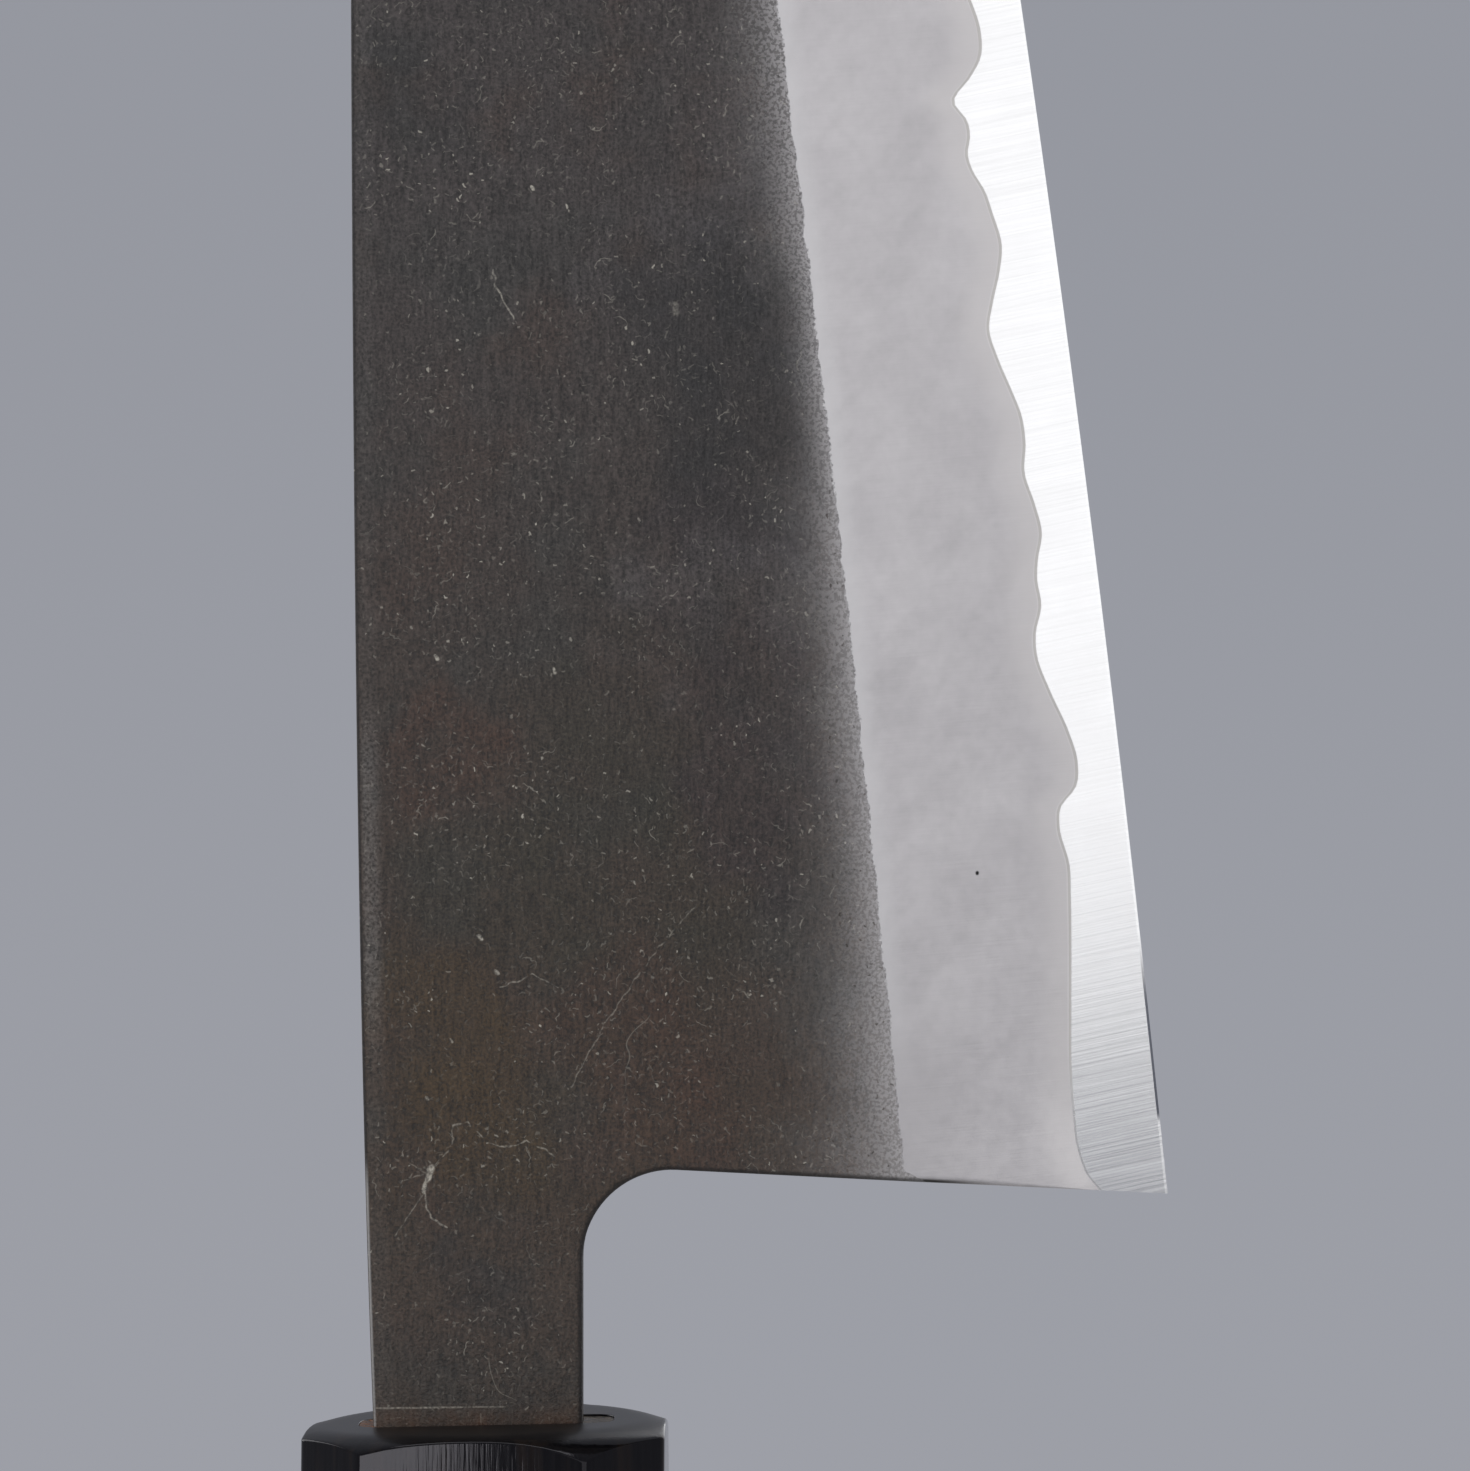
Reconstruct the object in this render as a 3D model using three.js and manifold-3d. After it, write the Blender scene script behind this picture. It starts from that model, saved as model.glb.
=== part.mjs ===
// A gyuto: a double-bevel kitchen knife with a three-layer blade and an eight-sided handle.
// Millimetres. The knife stands on its butt, +Z runs along the handle to the tip, the cutting edge faces
// +X, and the right-hand side of the blade faces -Y. The origin is the middle of the butt's flat face.
import * as THREE from "three";
import { mergeVertices } from "three/addons/utils/BufferGeometryUtils.js";
import Module from "manifold-3d";

// Blade, seen from the side
const BLADE_LENGTH = 240; // heel corner to tip, along Z
const HEEL_HEIGHT = 50; // spine to heel corner
const NECK_LENGTH = 14.2; // ferrule front to heel corner
const NECK_HEIGHT = 13; // spine side to belly side of the neck
const SPINE_SETBACK = 7; // handle axis to the spine side of the neck
const SPINE_RISE = 1.6; // how far the spine swings out beyond the neck
const SPINE_RISE_LENGTH = 40; // distance over which most of that happens
const TIP_DROP = 4.4; // how far the spine comes down to the tip
const TIP_DROP_LENGTH = 85; // length of spine that comes down
const TIP_HEIGHT = 0.6; // height of the blunted tip
const HEEL_LEAN_DEG = 2.9; // how far the heel leans towards the handle
const CHOIL_RADIUS = 5.6; // inside curve between neck and heel
// The edge runs from heel to tip as a lean, a steady belly and a sweep that only shows near the tip
const EDGE_LEAN_SHARE = 0.53;
const EDGE_BELLY_SHARE = 0.358;
const EDGE_SWEEP_POWER = 6;

// Blade, in section
const SPINE_THICKNESS = 3.7; // at the spine above the heel
const SHINOGI_THICKNESS = 2.9; // at the ridge between flat and bevel, above the heel
const TIP_THICKNESS = 0.9;
const SPINE_EASE = 0.35; // chamfer along the spine
const SPINE_EASE_LARGEST_SHARE = 0.1; // of the blade's height, near the tip
const BEVEL_WIDTH = 16.4; // ridge to edge, at the heel
const BEVEL_TAPER_POWER = 0.39; // how the bevel narrows as the blade does
const BEVEL_LARGEST_SHARE = 0.8; // of the blade's height, near the tip
const CORE_THICKNESS = 0.8; // hard steel, above the heel
const WELD_GAP = 0.02; // between core and cladding
const CORE_LARGEST_SHARE = 0.55; // of the bevel's width, near the tip

// Width of bare core steel along the right-hand edge: distance from the heel, then width
const WELD_LINE = [
  [0, 3.9], [1, 4.7], [2.6, 5.2], [5, 5.3], [8, 5.2], [11, 4.9], [15.5, 4.4], [18.5, 4.1], [20.5, 3.95],
  [23, 4.3], [24.2, 4.05], [25.3, 3.05], [26.9, 2.7], [28.9, 3.05], [31.4, 3.9], [33.6, 4.45],
  [35, 4.35], [36.7, 3.8], [38.4, 3.85], [39.6, 3.65], [41.2, 3.2], [43, 3.4], [45, 3.8], [46.9, 3.5],
  [48.7, 3.55], [50, 3.9], [52.2, 4.55], [53.9, 4.85], [55.6, 4.4], [57.6, 3.7], [59.2, 3.35],
  [61.2, 3.65], [62.6, 3.95], [63.9, 4.55], [64.9, 4.7], [66, 4.4], [67, 4.45], [68.1, 5.1],
  [69.7, 3.85], [70.8, 3.1], [72.6, 2.8], [74.4, 3.1], [76.5, 3.7],
];
// Past that the width goes on as three waves: height, wavelength and shift
const WELD_STEP = 3;
const WELD_MIDDLE = 3.9;
const WELD_WAVES = [
  [0.6, 13, 2.4],
  [0.4, 7.7, 0.9],
  [0.25, 29, 4.1],
];

// Tang, inside the handle
const TANG_LENGTH = 92; // below the ferrule's front
const TANG_WIDTH = 9; // below its shoulders
const TANG_END_WIDTH = 5;
const TANG_END_THICKNESS = 2.2;

// Handle
const HANDLE_LENGTH = 112; // wood, without the ferrule
const FERRULE_LENGTH = 30;
const HORN_END_WALL = 3.05; // horn beyond the slot's ends, along X
const HORN_SIDE_WALL = 2.9; // horn outside the dowel's bore, along Y
const HANDLE_FLARE_X = 3; // how much wider the butt is than the front
const HANDLE_FLARE_Y = 2.6; // how much thicker the butt is than the front
const FACET_CUT_X = 4.05; // corner cut off to make eight sides, along X
const FACET_CUT_Y = 4.1; // the same, along Y
const FACET_EASE = 0.3; // eased corners between facets
const HANDLE_ROLL_DEG = -3.2; // the handle sits slightly turned on the tang
const BUTT_EASE = 0.8; // chamfer round the butt
const RIM_RADIUS = 4.2; // round-over of the ferrule's front rim
const RIM_INSET = 1.4; // from the broad facets to where the round-over starts
const RIM_STRETCH = 1.3; // the rim's plan is wider along X
const FRONT_WALL = 6; // horn left in front of the dowel
const SLOT_CORNER = 1.5;
const SEAL_SPINE_END = 0.95; // slot beyond the neck on the spine side
const SEAL_BELLY_END = 1.95; // slot beyond the neck on the belly side
const SEAL_WALL = 0.35; // resin beside the neck
const SEAL_SINK = 0.7; // resin below the ferrule's front
const DOWEL_WALL = 1.35; // wood outside the corners of the dowel's slot
const DOWEL_END_WALL = 8; // wood behind the dowel's slot

// Fits
const GLUE_GAP = 0.1; // between glued wood, horn and resin
const TANG_CLEARANCE = 0.2; // round the tang in the dowel's slot
const SEAT_GAP = 0.1; // tang shoulders to dowel
const END_GAP = 1; // below the dowel, and below the tang

// Fineness of round shapes
const ROUND_SEGMENTS = 48;
const RIM_SEGMENTS = 64;
const RIM_STEPS = 6;
const ARC_SEGMENTS = 12;
const NECK_STEPS = 4;
const CUT_MARGIN = 5; // how far cutting shapes reach past what they cut

const TAU = 2 * Math.PI;

// Places along Z
const FERRULE_BACK = HANDLE_LENGTH + GLUE_GAP;
const FERRULE_FRONT = FERRULE_BACK + FERRULE_LENGTH;
const HEEL_Z = FERRULE_FRONT + NECK_LENGTH;
const TIP_Z = HEEL_Z + BLADE_LENGTH;
const TANG_END_Z = FERRULE_FRONT - TANG_LENGTH;
const DOWEL_FRONT = FERRULE_FRONT - FRONT_WALL - GLUE_GAP;
const DOWEL_BACK = TANG_END_Z - END_GAP - DOWEL_END_WALL;
const SHOULDER_Z = DOWEL_FRONT + SEAT_GAP;

const wasm = await Module();
wasm.setup();

// A closed geometry as a solid that can be joined and cut
function solidOf(geometry) {
  const bare = geometry.clone();
  bare.deleteAttribute("normal");
  bare.deleteAttribute("uv");
  const merged = mergeVertices(bare);
  const vertProperties = merged.attributes.position.array;
  const triVerts = new Uint32Array(merged.index.array);
  return new wasm.Manifold(new wasm.Mesh({ numProp: 3, vertProperties, triVerts }));
}

function geometryOf(solid) {
  const { vertProperties, triVerts } = solid.getMesh();
  const geometry = new THREE.BufferGeometry();
  geometry.setAttribute("position", new THREE.BufferAttribute(vertProperties, 3));
  geometry.setIndex(new THREE.BufferAttribute(triVerts, 1));
  geometry.computeVertexNormals();
  return geometry;
}

// A closed skin through sections of equal point count. Each section is { z, points } with its points
// running anticlockwise seen from above, and sections go upwards. Each panel is split from its corner
// nearer the spine, so that two skins that face each other are split alike.
function loft(sections) {
  const count = sections[0].points.length;
  const positions = [];
  for (const { z, points } of sections) {
    for (const point of points) positions.push(point.x, point.y, z);
  }
  const index = [];
  for (let level = 0; level + 1 < sections.length; level += 1) {
    for (let corner = 0; corner < count; corner += 1) {
      const a = level * count + corner;
      const b = level * count + ((corner + 1) % count);
      const { points } = sections[level];
      if (points[corner].x < points[(corner + 1) % count].x) {
        index.push(a, b, b + count, a, b + count, a + count);
      } else {
        index.push(a, b, a + count, b, b + count, a + count);
      }
    }
  }
  const last = (sections.length - 1) * count;
  for (const [a, b, c] of THREE.ShapeUtils.triangulateShape(sections[0].points, [])) index.push(a, c, b);
  for (const [a, b, c] of THREE.ShapeUtils.triangulateShape(sections.at(-1).points, [])) {
    index.push(last + a, last + b, last + c);
  }
  const geometry = new THREE.BufferGeometry();
  geometry.setAttribute("position", new THREE.Float32BufferAttribute(positions, 3));
  geometry.setIndex(index);
  return solidOf(geometry);
}

// An upright prism of a shape drawn in X and Y
function prism(shape, low, high) {
  const geometry = new THREE.ExtrudeGeometry(shape, {
    depth: high - low,
    bevelEnabled: false,
    curveSegments: ARC_SEGMENTS,
  });
  return solidOf(geometry.translate(0, 0, low));
}

// An upright cylinder on the Z axis
function post(radius, low, high) {
  const geometry = new THREE.CylinderGeometry(radius, radius, high - low, ROUND_SEGMENTS);
  return solidOf(geometry.rotateX(Math.PI / 2).translate(0, 0, (low + high) / 2));
}

// A slot along X from left to right, with round corners
function slotShape(left, right, half, corner) {
  const shape = new THREE.Shape();
  shape.absarc(right - corner, corner - half, corner, -TAU / 4, 0);
  shape.absarc(right - corner, half - corner, corner, 0, TAU / 4);
  shape.absarc(left + corner, half - corner, corner, TAU / 4, TAU / 2);
  shape.absarc(left + corner, corner - half, corner, TAU / 2, (3 * TAU) / 4);
  return shape;
}

// Blade outline: where the spine, edge and ridge lie along X at each height
function spineX(z) {
  const along = Math.max(0, z - FERRULE_FRONT);
  const rise = SPINE_RISE * (1 - Math.exp(-along / SPINE_RISE_LENGTH));
  const down = Math.max(0, 1 - (TIP_Z - z) / TIP_DROP_LENGTH);
  return TIP_DROP * down ** 2 - SPINE_SETBACK - rise;
}

const HEEL_X = spineX(HEEL_Z) + HEEL_HEIGHT;
const TIP_X = spineX(TIP_Z) + TIP_HEIGHT;
const EDGE_SWEEP_SHARE = 1 - EDGE_LEAN_SHARE - EDGE_BELLY_SHARE;

function edgeX(z) {
  const share = (z - HEEL_Z) / BLADE_LENGTH;
  const fall =
    EDGE_LEAN_SHARE * share + EDGE_BELLY_SHARE * share ** 2 + EDGE_SWEEP_SHARE * share ** EDGE_SWEEP_POWER;
  return HEEL_X + (TIP_X - HEEL_X) * fall;
}

function bladeHeight(z) {
  return edgeX(z) - spineX(z);
}

function bevelTaper(z) {
  return (bladeHeight(z) / HEEL_HEIGHT) ** BEVEL_TAPER_POWER;
}

function bevelWidth(z) {
  return Math.min(BEVEL_WIDTH * bevelTaper(z), BEVEL_LARGEST_SHARE * bladeHeight(z));
}

function shinogiX(z) {
  return edgeX(z) - bevelWidth(z);
}

// Each side's flat is one plane that thins towards the ridge and towards the tip
const HEEL_FLAT = HEEL_HEIGHT - BEVEL_WIDTH;
const THINNING_X = (SPINE_THICKNESS - SHINOGI_THICKNESS) / 2 / HEEL_FLAT;
const THINNING_TIP = THINNING_X * (spineX(TIP_Z) - spineX(HEEL_Z));
const THINNING_Z = ((SPINE_THICKNESS - TIP_THICKNESS) / 2 - THINNING_TIP) / BLADE_LENGTH;

function flatHalf(x, z) {
  return SPINE_THICKNESS / 2 - THINNING_X * (x - spineX(HEEL_Z)) - THINNING_Z * (z - HEEL_Z);
}

const NECK_HALF = flatHalf(-SPINE_SETBACK, FERRULE_FRONT);
const TANG_THINNING = (NECK_HALF - TANG_END_THICKNESS / 2) / TANG_LENGTH;

// Half the blade's thickness over the flat, the neck and the tang
function halfThickness(x, z) {
  const inside = Math.max(0, FERRULE_FRONT - z);
  return flatHalf(x, z + inside) - TANG_THINNING * inside;
}

// Sizes of the neck, the slot that it passes and the dowel that holds the tang
const BELLY_X = NECK_HEIGHT - SPINE_SETBACK;
const SLOT_LEFT = -SPINE_SETBACK - SEAL_SPINE_END;
const SLOT_RIGHT = BELLY_X + SEAL_BELLY_END;
const SLOT_HALF = NECK_HALF + SEAL_WALL + 2 * GLUE_GAP;
const DOWEL_SLOT_X = TANG_WIDTH / 2 + TANG_CLEARANCE;
const DOWEL_SLOT_Y = halfThickness(-TANG_WIDTH / 2, SHOULDER_Z) + TANG_CLEARANCE;
const DOWEL_RADIUS = Math.hypot(DOWEL_SLOT_X, DOWEL_SLOT_Y) + DOWEL_WALL;
const BORE_RADIUS = DOWEL_RADIUS + GLUE_GAP;
const FRONT_HALF_X = (SLOT_RIGHT - SLOT_LEFT) / 2 + HORN_END_WALL;
const FRONT_HALF_Y = BORE_RADIUS + HORN_SIDE_WALL;

// Weld line: width of bare core steel at a distance from one end of the blade, before it narrows
function weldWave(along) {
  let width = WELD_MIDDLE;
  for (const [height, length, shift] of WELD_WAVES) {
    width += height * Math.sin((TAU * along) / length + shift);
  }
  return width;
}

// Heights where the blade is sectioned, each with its width of bare core on the right and on the left.
// The left-hand weld line is the wave run from the tip instead.
function bladeStations() {
  const weld = WELD_LINE.filter(([along]) => along < BLADE_LENGTH);
  const unseen = weld.at(-1)[0] + WELD_STEP;
  for (let along = unseen; along < BLADE_LENGTH; along += WELD_STEP) {
    weld.push([along, weldWave(along) * bevelTaper(HEEL_Z + along)]);
  }
  weld.push([BLADE_LENGTH, weldWave(BLADE_LENGTH)]);
  const stations = weld.map(([along, width]) => {
    const z = HEEL_Z + along;
    const largest = CORE_LARGEST_SHARE * bevelWidth(z);
    const right = Math.min(width, largest);
    const left = Math.min(weldWave(BLADE_LENGTH - along) * bevelTaper(z), largest);
    return { z, right, left };
  });
  const { right, left } = stations[0];
  const below = [{ z: TANG_END_Z - CUT_MARGIN, right, left }];
  for (let step = 0; step < NECK_STEPS; step += 1) {
    below.push({ z: FERRULE_FRONT + (NECK_LENGTH * step) / NECK_STEPS, right, left });
  }
  return [...below, ...stations];
}

// One section of the blade: the corners of the flat, ridge, weld line and edge on each side
function bladeSection({ z, right, left }) {
  const spine = spineX(z);
  const ridge = shinogiX(z);
  const edge = edgeX(z);
  const spineHalf = halfThickness(spine, z);
  const ridgeHalf = halfThickness(ridge, z);
  const slope = ridgeHalf / bevelWidth(z);
  const core = (CORE_THICKNESS / SPINE_THICKNESS) * spineHalf;
  const ease = Math.min(SPINE_EASE, SPINE_EASE_LARGEST_SHARE * bladeHeight(z));
  const at = (x, y) => new THREE.Vector2(x, y);
  const coreHalf = (width) => [at(edge - width, slope * width), at(ridge, core), at(spine, core)];
  // Where the cladding's inner face, kept WELD_GAP off the core, comes out on the bevel
  const feather = (width) => {
    const inner = (slope * width - core) / (bevelWidth(z) - width);
    return width + WELD_GAP / (slope + inner);
  };
  const cladding = (width) => [
    at(spine, core + WELD_GAP),
    at(ridge, core + WELD_GAP),
    at(edge - feather(width), slope * feather(width)),
    at(ridge, ridgeHalf),
    at(spine + ease, halfThickness(spine + ease, z)),
    at(spine, spineHalf - ease),
  ];
  const mirrored = (points) => points.map(({ x, y }) => at(x, -y)).reverse();
  return {
    core: [...mirrored(coreHalf(right)), at(edge, 0), ...coreHalf(left)],
    left: cladding(left),
    right: mirrored(cladding(right)),
  };
}

// Side outline of the blank: everything above the heel, the neck, and the tang with its shoulders
function blankOutline() {
  const lean = THREE.MathUtils.degToRad(HEEL_LEAN_DEG);
  const far = HEEL_HEIGHT + CUT_MARGIN;
  const centreX = BELLY_X + CHOIL_RADIUS;
  const heelStartX = centreX + CHOIL_RADIUS * Math.sin(lean);
  const heelStartZ = HEEL_Z + (HEEL_X - heelStartX) * Math.tan(lean);
  const centreZ = heelStartZ - CHOIL_RADIUS * Math.cos(lean);
  const outline = new THREE.Shape();
  outline.moveTo(-far, TIP_Z + CUT_MARGIN);
  outline.lineTo(-far, SHOULDER_Z);
  outline.lineTo(-TANG_WIDTH / 2, SHOULDER_Z);
  outline.lineTo(-TANG_END_WIDTH / 2, TANG_END_Z);
  outline.lineTo(TANG_END_WIDTH / 2, TANG_END_Z);
  outline.lineTo(TANG_WIDTH / 2, SHOULDER_Z);
  outline.lineTo(BELLY_X, SHOULDER_Z);
  outline.absarc(centreX, centreZ, CHOIL_RADIUS, TAU / 2, TAU / 4 - lean, true);
  outline.lineTo(far, HEEL_Z - (far - HEEL_X) * Math.tan(lean));
  outline.lineTo(far, TIP_Z + CUT_MARGIN);
  return outline;
}

function makeBlank() {
  const depth = SPINE_THICKNESS + 2 * CUT_MARGIN;
  const geometry = new THREE.ExtrudeGeometry(blankOutline(), {
    depth,
    bevelEnabled: false,
    curveSegments: ARC_SEGMENTS,
  });
  return solidOf(geometry.rotateX(Math.PI / 2).translate(0, depth / 2, 0));
}

const BLANK = makeBlank();
const SECTIONS = bladeStations().map((station) => ({ z: station.z, ...bladeSection(station) }));

function bladeLayer(name) {
  return loft(SECTIONS.map((section) => ({ z: section.z, points: section[name] }))).intersect(BLANK);
}

// Eight-sided section of the handle at a height, with eased corners, drawn in by an inset
function handleSection(z, inset = 0) {
  const share = 1 - z / FERRULE_FRONT;
  const halfX = FRONT_HALF_X + (HANDLE_FLARE_X / 2) * share - inset;
  const halfY = FRONT_HALF_Y + (HANDLE_FLARE_Y / 2) * share - inset;
  const quarter = [
    [halfX, halfY - FACET_CUT_Y],
    [halfX - FACET_CUT_X, halfY],
  ];
  const flip = (signX, signY) => quarter.map(([x, y]) => new THREE.Vector2(signX * x, signY * y));
  const corners = [
    ...flip(1, 1),
    ...flip(-1, 1).reverse(),
    ...flip(-1, -1),
    ...flip(1, -1).reverse(),
  ];
  const roll = THREE.MathUtils.degToRad(HANDLE_ROLL_DEG);
  const points = [];
  corners.forEach((corner, place) => {
    const before = corners.at(place - 1);
    const after = corners[(place + 1) % corners.length];
    for (const side of [before, after]) {
      const eased = side.clone().sub(corner).setLength(FACET_EASE).add(corner);
      points.push(eased.rotateAround(new THREE.Vector2(), roll));
    }
  });
  return { z, points };
}

function makeHandleBody() {
  const outside = loft([
    handleSection(0, BUTT_EASE),
    handleSection(BUTT_EASE),
    handleSection(HANDLE_LENGTH),
  ]);
  return outside.subtract(post(BORE_RADIUS, DOWEL_BACK - END_GAP, HANDLE_LENGTH + CUT_MARGIN));
}

// The ferrule's rounded-over front, as a turned shape stretched along X
function makeRim() {
  const flat = FRONT_HALF_Y - RIM_INSET;
  const profile = [new THREE.Vector2(0, FERRULE_BACK - CUT_MARGIN)];
  profile.push(new THREE.Vector2(flat + RIM_RADIUS, FERRULE_BACK - CUT_MARGIN));
  for (let step = 0; step <= RIM_STEPS; step += 1) {
    const angle = ((TAU / 4) * step) / RIM_STEPS;
    const out = flat + RIM_RADIUS * Math.cos(angle);
    profile.push(new THREE.Vector2(out, FERRULE_FRONT - RIM_RADIUS * (1 - Math.sin(angle))));
  }
  profile.push(new THREE.Vector2(0, FERRULE_FRONT));
  const geometry = new THREE.LatheGeometry(profile, RIM_SEGMENTS);
  return solidOf(geometry.rotateX(Math.PI / 2).scale(RIM_STRETCH, 1, 1));
}

function makeFerrule() {
  const outside = loft([handleSection(FERRULE_BACK), handleSection(FERRULE_FRONT)]);
  const slot = slotShape(SLOT_LEFT, SLOT_RIGHT, SLOT_HALF, SLOT_CORNER);
  return outside
    .intersect(makeRim())
    .subtract(prism(slot, FERRULE_BACK, FERRULE_FRONT + CUT_MARGIN))
    .subtract(post(BORE_RADIUS, FERRULE_BACK - CUT_MARGIN, FERRULE_FRONT - FRONT_WALL));
}

function makeSlottedDowel() {
  const slot = slotShape(-DOWEL_SLOT_X, DOWEL_SLOT_X, DOWEL_SLOT_Y, TANG_CLEARANCE);
  return post(DOWEL_RADIUS, DOWEL_BACK, DOWEL_FRONT).subtract(
    prism(slot, TANG_END_Z - END_GAP, DOWEL_FRONT + CUT_MARGIN),
  );
}

// Resin round the neck in the ferrule's slot
function makeTangSeal() {
  const low = DOWEL_FRONT + GLUE_GAP;
  const high = FERRULE_FRONT - SEAL_SINK;
  const outside = slotShape(
    SLOT_LEFT + GLUE_GAP,
    SLOT_RIGHT - GLUE_GAP,
    SLOT_HALF - GLUE_GAP,
    SLOT_CORNER - GLUE_GAP,
  );
  const neck = slotShape(-SPINE_SETBACK - GLUE_GAP, BELLY_X + GLUE_GAP, NECK_HALF + GLUE_GAP, GLUE_GAP);
  return prism(outside, low, high).subtract(prism(neck, low - CUT_MARGIN, high + CUT_MARGIN));
}

const FORGED_IRON = new THREE.MeshStandardMaterial({ color: 0x4a4744, roughness: 0.6, metalness: 0.7 });
const HARD_STEEL = new THREE.MeshStandardMaterial({ color: 0xe4e5e7, roughness: 0.25, metalness: 1 });
const HORN = new THREE.MeshStandardMaterial({ color: 0x1c1a19, roughness: 0.3, metalness: 0 });
const MAGNOLIA = new THREE.MeshStandardMaterial({ color: 0xc9ac7f, roughness: 0.6, metalness: 0 });
const DOWEL_WOOD = new THREE.MeshStandardMaterial({ color: 0xb98f5c, roughness: 0.7, metalness: 0 });
const RESIN = new THREE.MeshStandardMaterial({ color: 0x6b3f22, roughness: 0.4, metalness: 0 });

const knife = new THREE.Group();

function addPiece(name, solid, material) {
  const mesh = new THREE.Mesh(geometryOf(solid), material);
  mesh.name = name;
  knife.add(mesh);
}

addPiece("core_steel", bladeLayer("core"), HARD_STEEL);
addPiece("right_cladding", bladeLayer("right"), FORGED_IRON);
addPiece("left_cladding", bladeLayer("left"), FORGED_IRON);
addPiece("ferrule", makeFerrule(), HORN);
addPiece("handle_body", makeHandleBody(), MAGNOLIA);
addPiece("slotted_dowel", makeSlottedDowel(), DOWEL_WOOD);
addPiece("tang_seal", makeTangSeal(), RESIN);

export default knife;
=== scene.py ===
# %% [markdown]
# # A gyuto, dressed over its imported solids
# The knife stands on its butt. +Z runs along the handle to the tip, the cutting edge faces +X, and the
# right-hand side of the blade faces -Y, towards the camera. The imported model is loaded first. Its solids
# stay where they are, and each piece below is built in the same place with finer edges and real finishes.

# %% Load the frame
import math
import bmesh
import bpy
import numpy as np
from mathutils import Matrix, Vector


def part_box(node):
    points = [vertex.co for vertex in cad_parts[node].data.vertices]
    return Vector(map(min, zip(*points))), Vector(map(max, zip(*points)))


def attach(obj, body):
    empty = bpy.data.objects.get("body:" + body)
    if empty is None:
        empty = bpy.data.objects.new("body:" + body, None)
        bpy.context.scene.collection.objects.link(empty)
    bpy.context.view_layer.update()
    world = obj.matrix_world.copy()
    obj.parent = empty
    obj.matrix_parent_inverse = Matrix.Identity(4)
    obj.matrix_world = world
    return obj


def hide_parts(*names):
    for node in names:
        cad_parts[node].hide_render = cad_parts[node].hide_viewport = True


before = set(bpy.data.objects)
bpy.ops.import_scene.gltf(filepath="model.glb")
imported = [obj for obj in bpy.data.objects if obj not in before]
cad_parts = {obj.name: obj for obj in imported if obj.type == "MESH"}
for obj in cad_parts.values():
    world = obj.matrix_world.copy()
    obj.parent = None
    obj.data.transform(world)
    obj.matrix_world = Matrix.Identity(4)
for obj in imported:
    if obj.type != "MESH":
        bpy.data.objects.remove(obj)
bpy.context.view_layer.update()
MM = 0.001
print("nodes:", sorted(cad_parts))

# %% [markdown]
# ## The blade's outline
# A forged blade has no straight lines to copy by eye, but it follows a few rules: the spine swings out
# slowly and drops at the tip, the edge leans, bellies and sweeps up, and the ground bevel narrows as the
# blade gets lower. The rules are written as functions of the height Z, in millimetres, with the same values
# as the solids, so the dressed blade can't drift away from them. Only the gap at the weld is thinner.

# %% Sizes of the blade, in millimetres
FERRULE_BACK, FERRULE_FRONT = 112.1, 142.1
HEEL_Z, BLADE_LENGTH = 156.3, 240.0
TIP_Z = HEEL_Z + BLADE_LENGTH
SPINE_SETBACK, SPINE_RISE, SPINE_RISE_LENGTH = 7.0, 1.6, 40.0
TIP_DROP, TIP_DROP_LENGTH, TIP_HEIGHT = 4.4, 85.0, 0.6
HEEL_HEIGHT, HEEL_LEAN = 50.0, math.radians(2.9)
BELLY_X, CHOIL_RADIUS = 6.0, 5.6
EDGE_LEAN_SHARE, EDGE_BELLY_SHARE, EDGE_SWEEP_POWER = 0.53, 0.358, 6
SPINE_THICKNESS, SHINOGI_THICKNESS, TIP_THICKNESS = 3.7, 2.9, 0.9
BEVEL_WIDTH, BEVEL_TAPER_POWER, BEVEL_LARGEST_SHARE = 16.4, 0.39, 0.8
CORE_THICKNESS, WELD_GAP, CORE_LARGEST_SHARE = 0.8, 0.012, 0.55
TANG_END_Z, SHOULDER_Z, TANG_WIDTH, TANG_END_WIDTH = 50.1, 136.1, 9.0, 5.0
TANG_END_THICKNESS = 2.2


# %% Outline and thickness as rules of height
def spine_x(z):
    rise = SPINE_RISE * (1 - np.exp(-np.maximum(0, z - FERRULE_FRONT) / SPINE_RISE_LENGTH))
    down = np.maximum(0, 1 - (TIP_Z - z) / TIP_DROP_LENGTH)
    return TIP_DROP * down**2 - SPINE_SETBACK - rise


HEEL_X = spine_x(HEEL_Z) + HEEL_HEIGHT
TIP_X = spine_x(TIP_Z) + TIP_HEIGHT
EDGE_SWEEP_SHARE = 1 - EDGE_LEAN_SHARE - EDGE_BELLY_SHARE


def edge_x(z):
    share = (z - HEEL_Z) / BLADE_LENGTH
    sweep = EDGE_SWEEP_SHARE * share**EDGE_SWEEP_POWER
    fall = EDGE_LEAN_SHARE * share + EDGE_BELLY_SHARE * share**2 + sweep
    return HEEL_X + (TIP_X - HEEL_X) * fall


def bevel_taper(z):
    return ((edge_x(z) - spine_x(z)) / HEEL_HEIGHT) ** BEVEL_TAPER_POWER


def bevel_width(z):
    return np.minimum(BEVEL_WIDTH * bevel_taper(z), BEVEL_LARGEST_SHARE * (edge_x(z) - spine_x(z)))


def ridge_x(z):
    return edge_x(z) - bevel_width(z)


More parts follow.
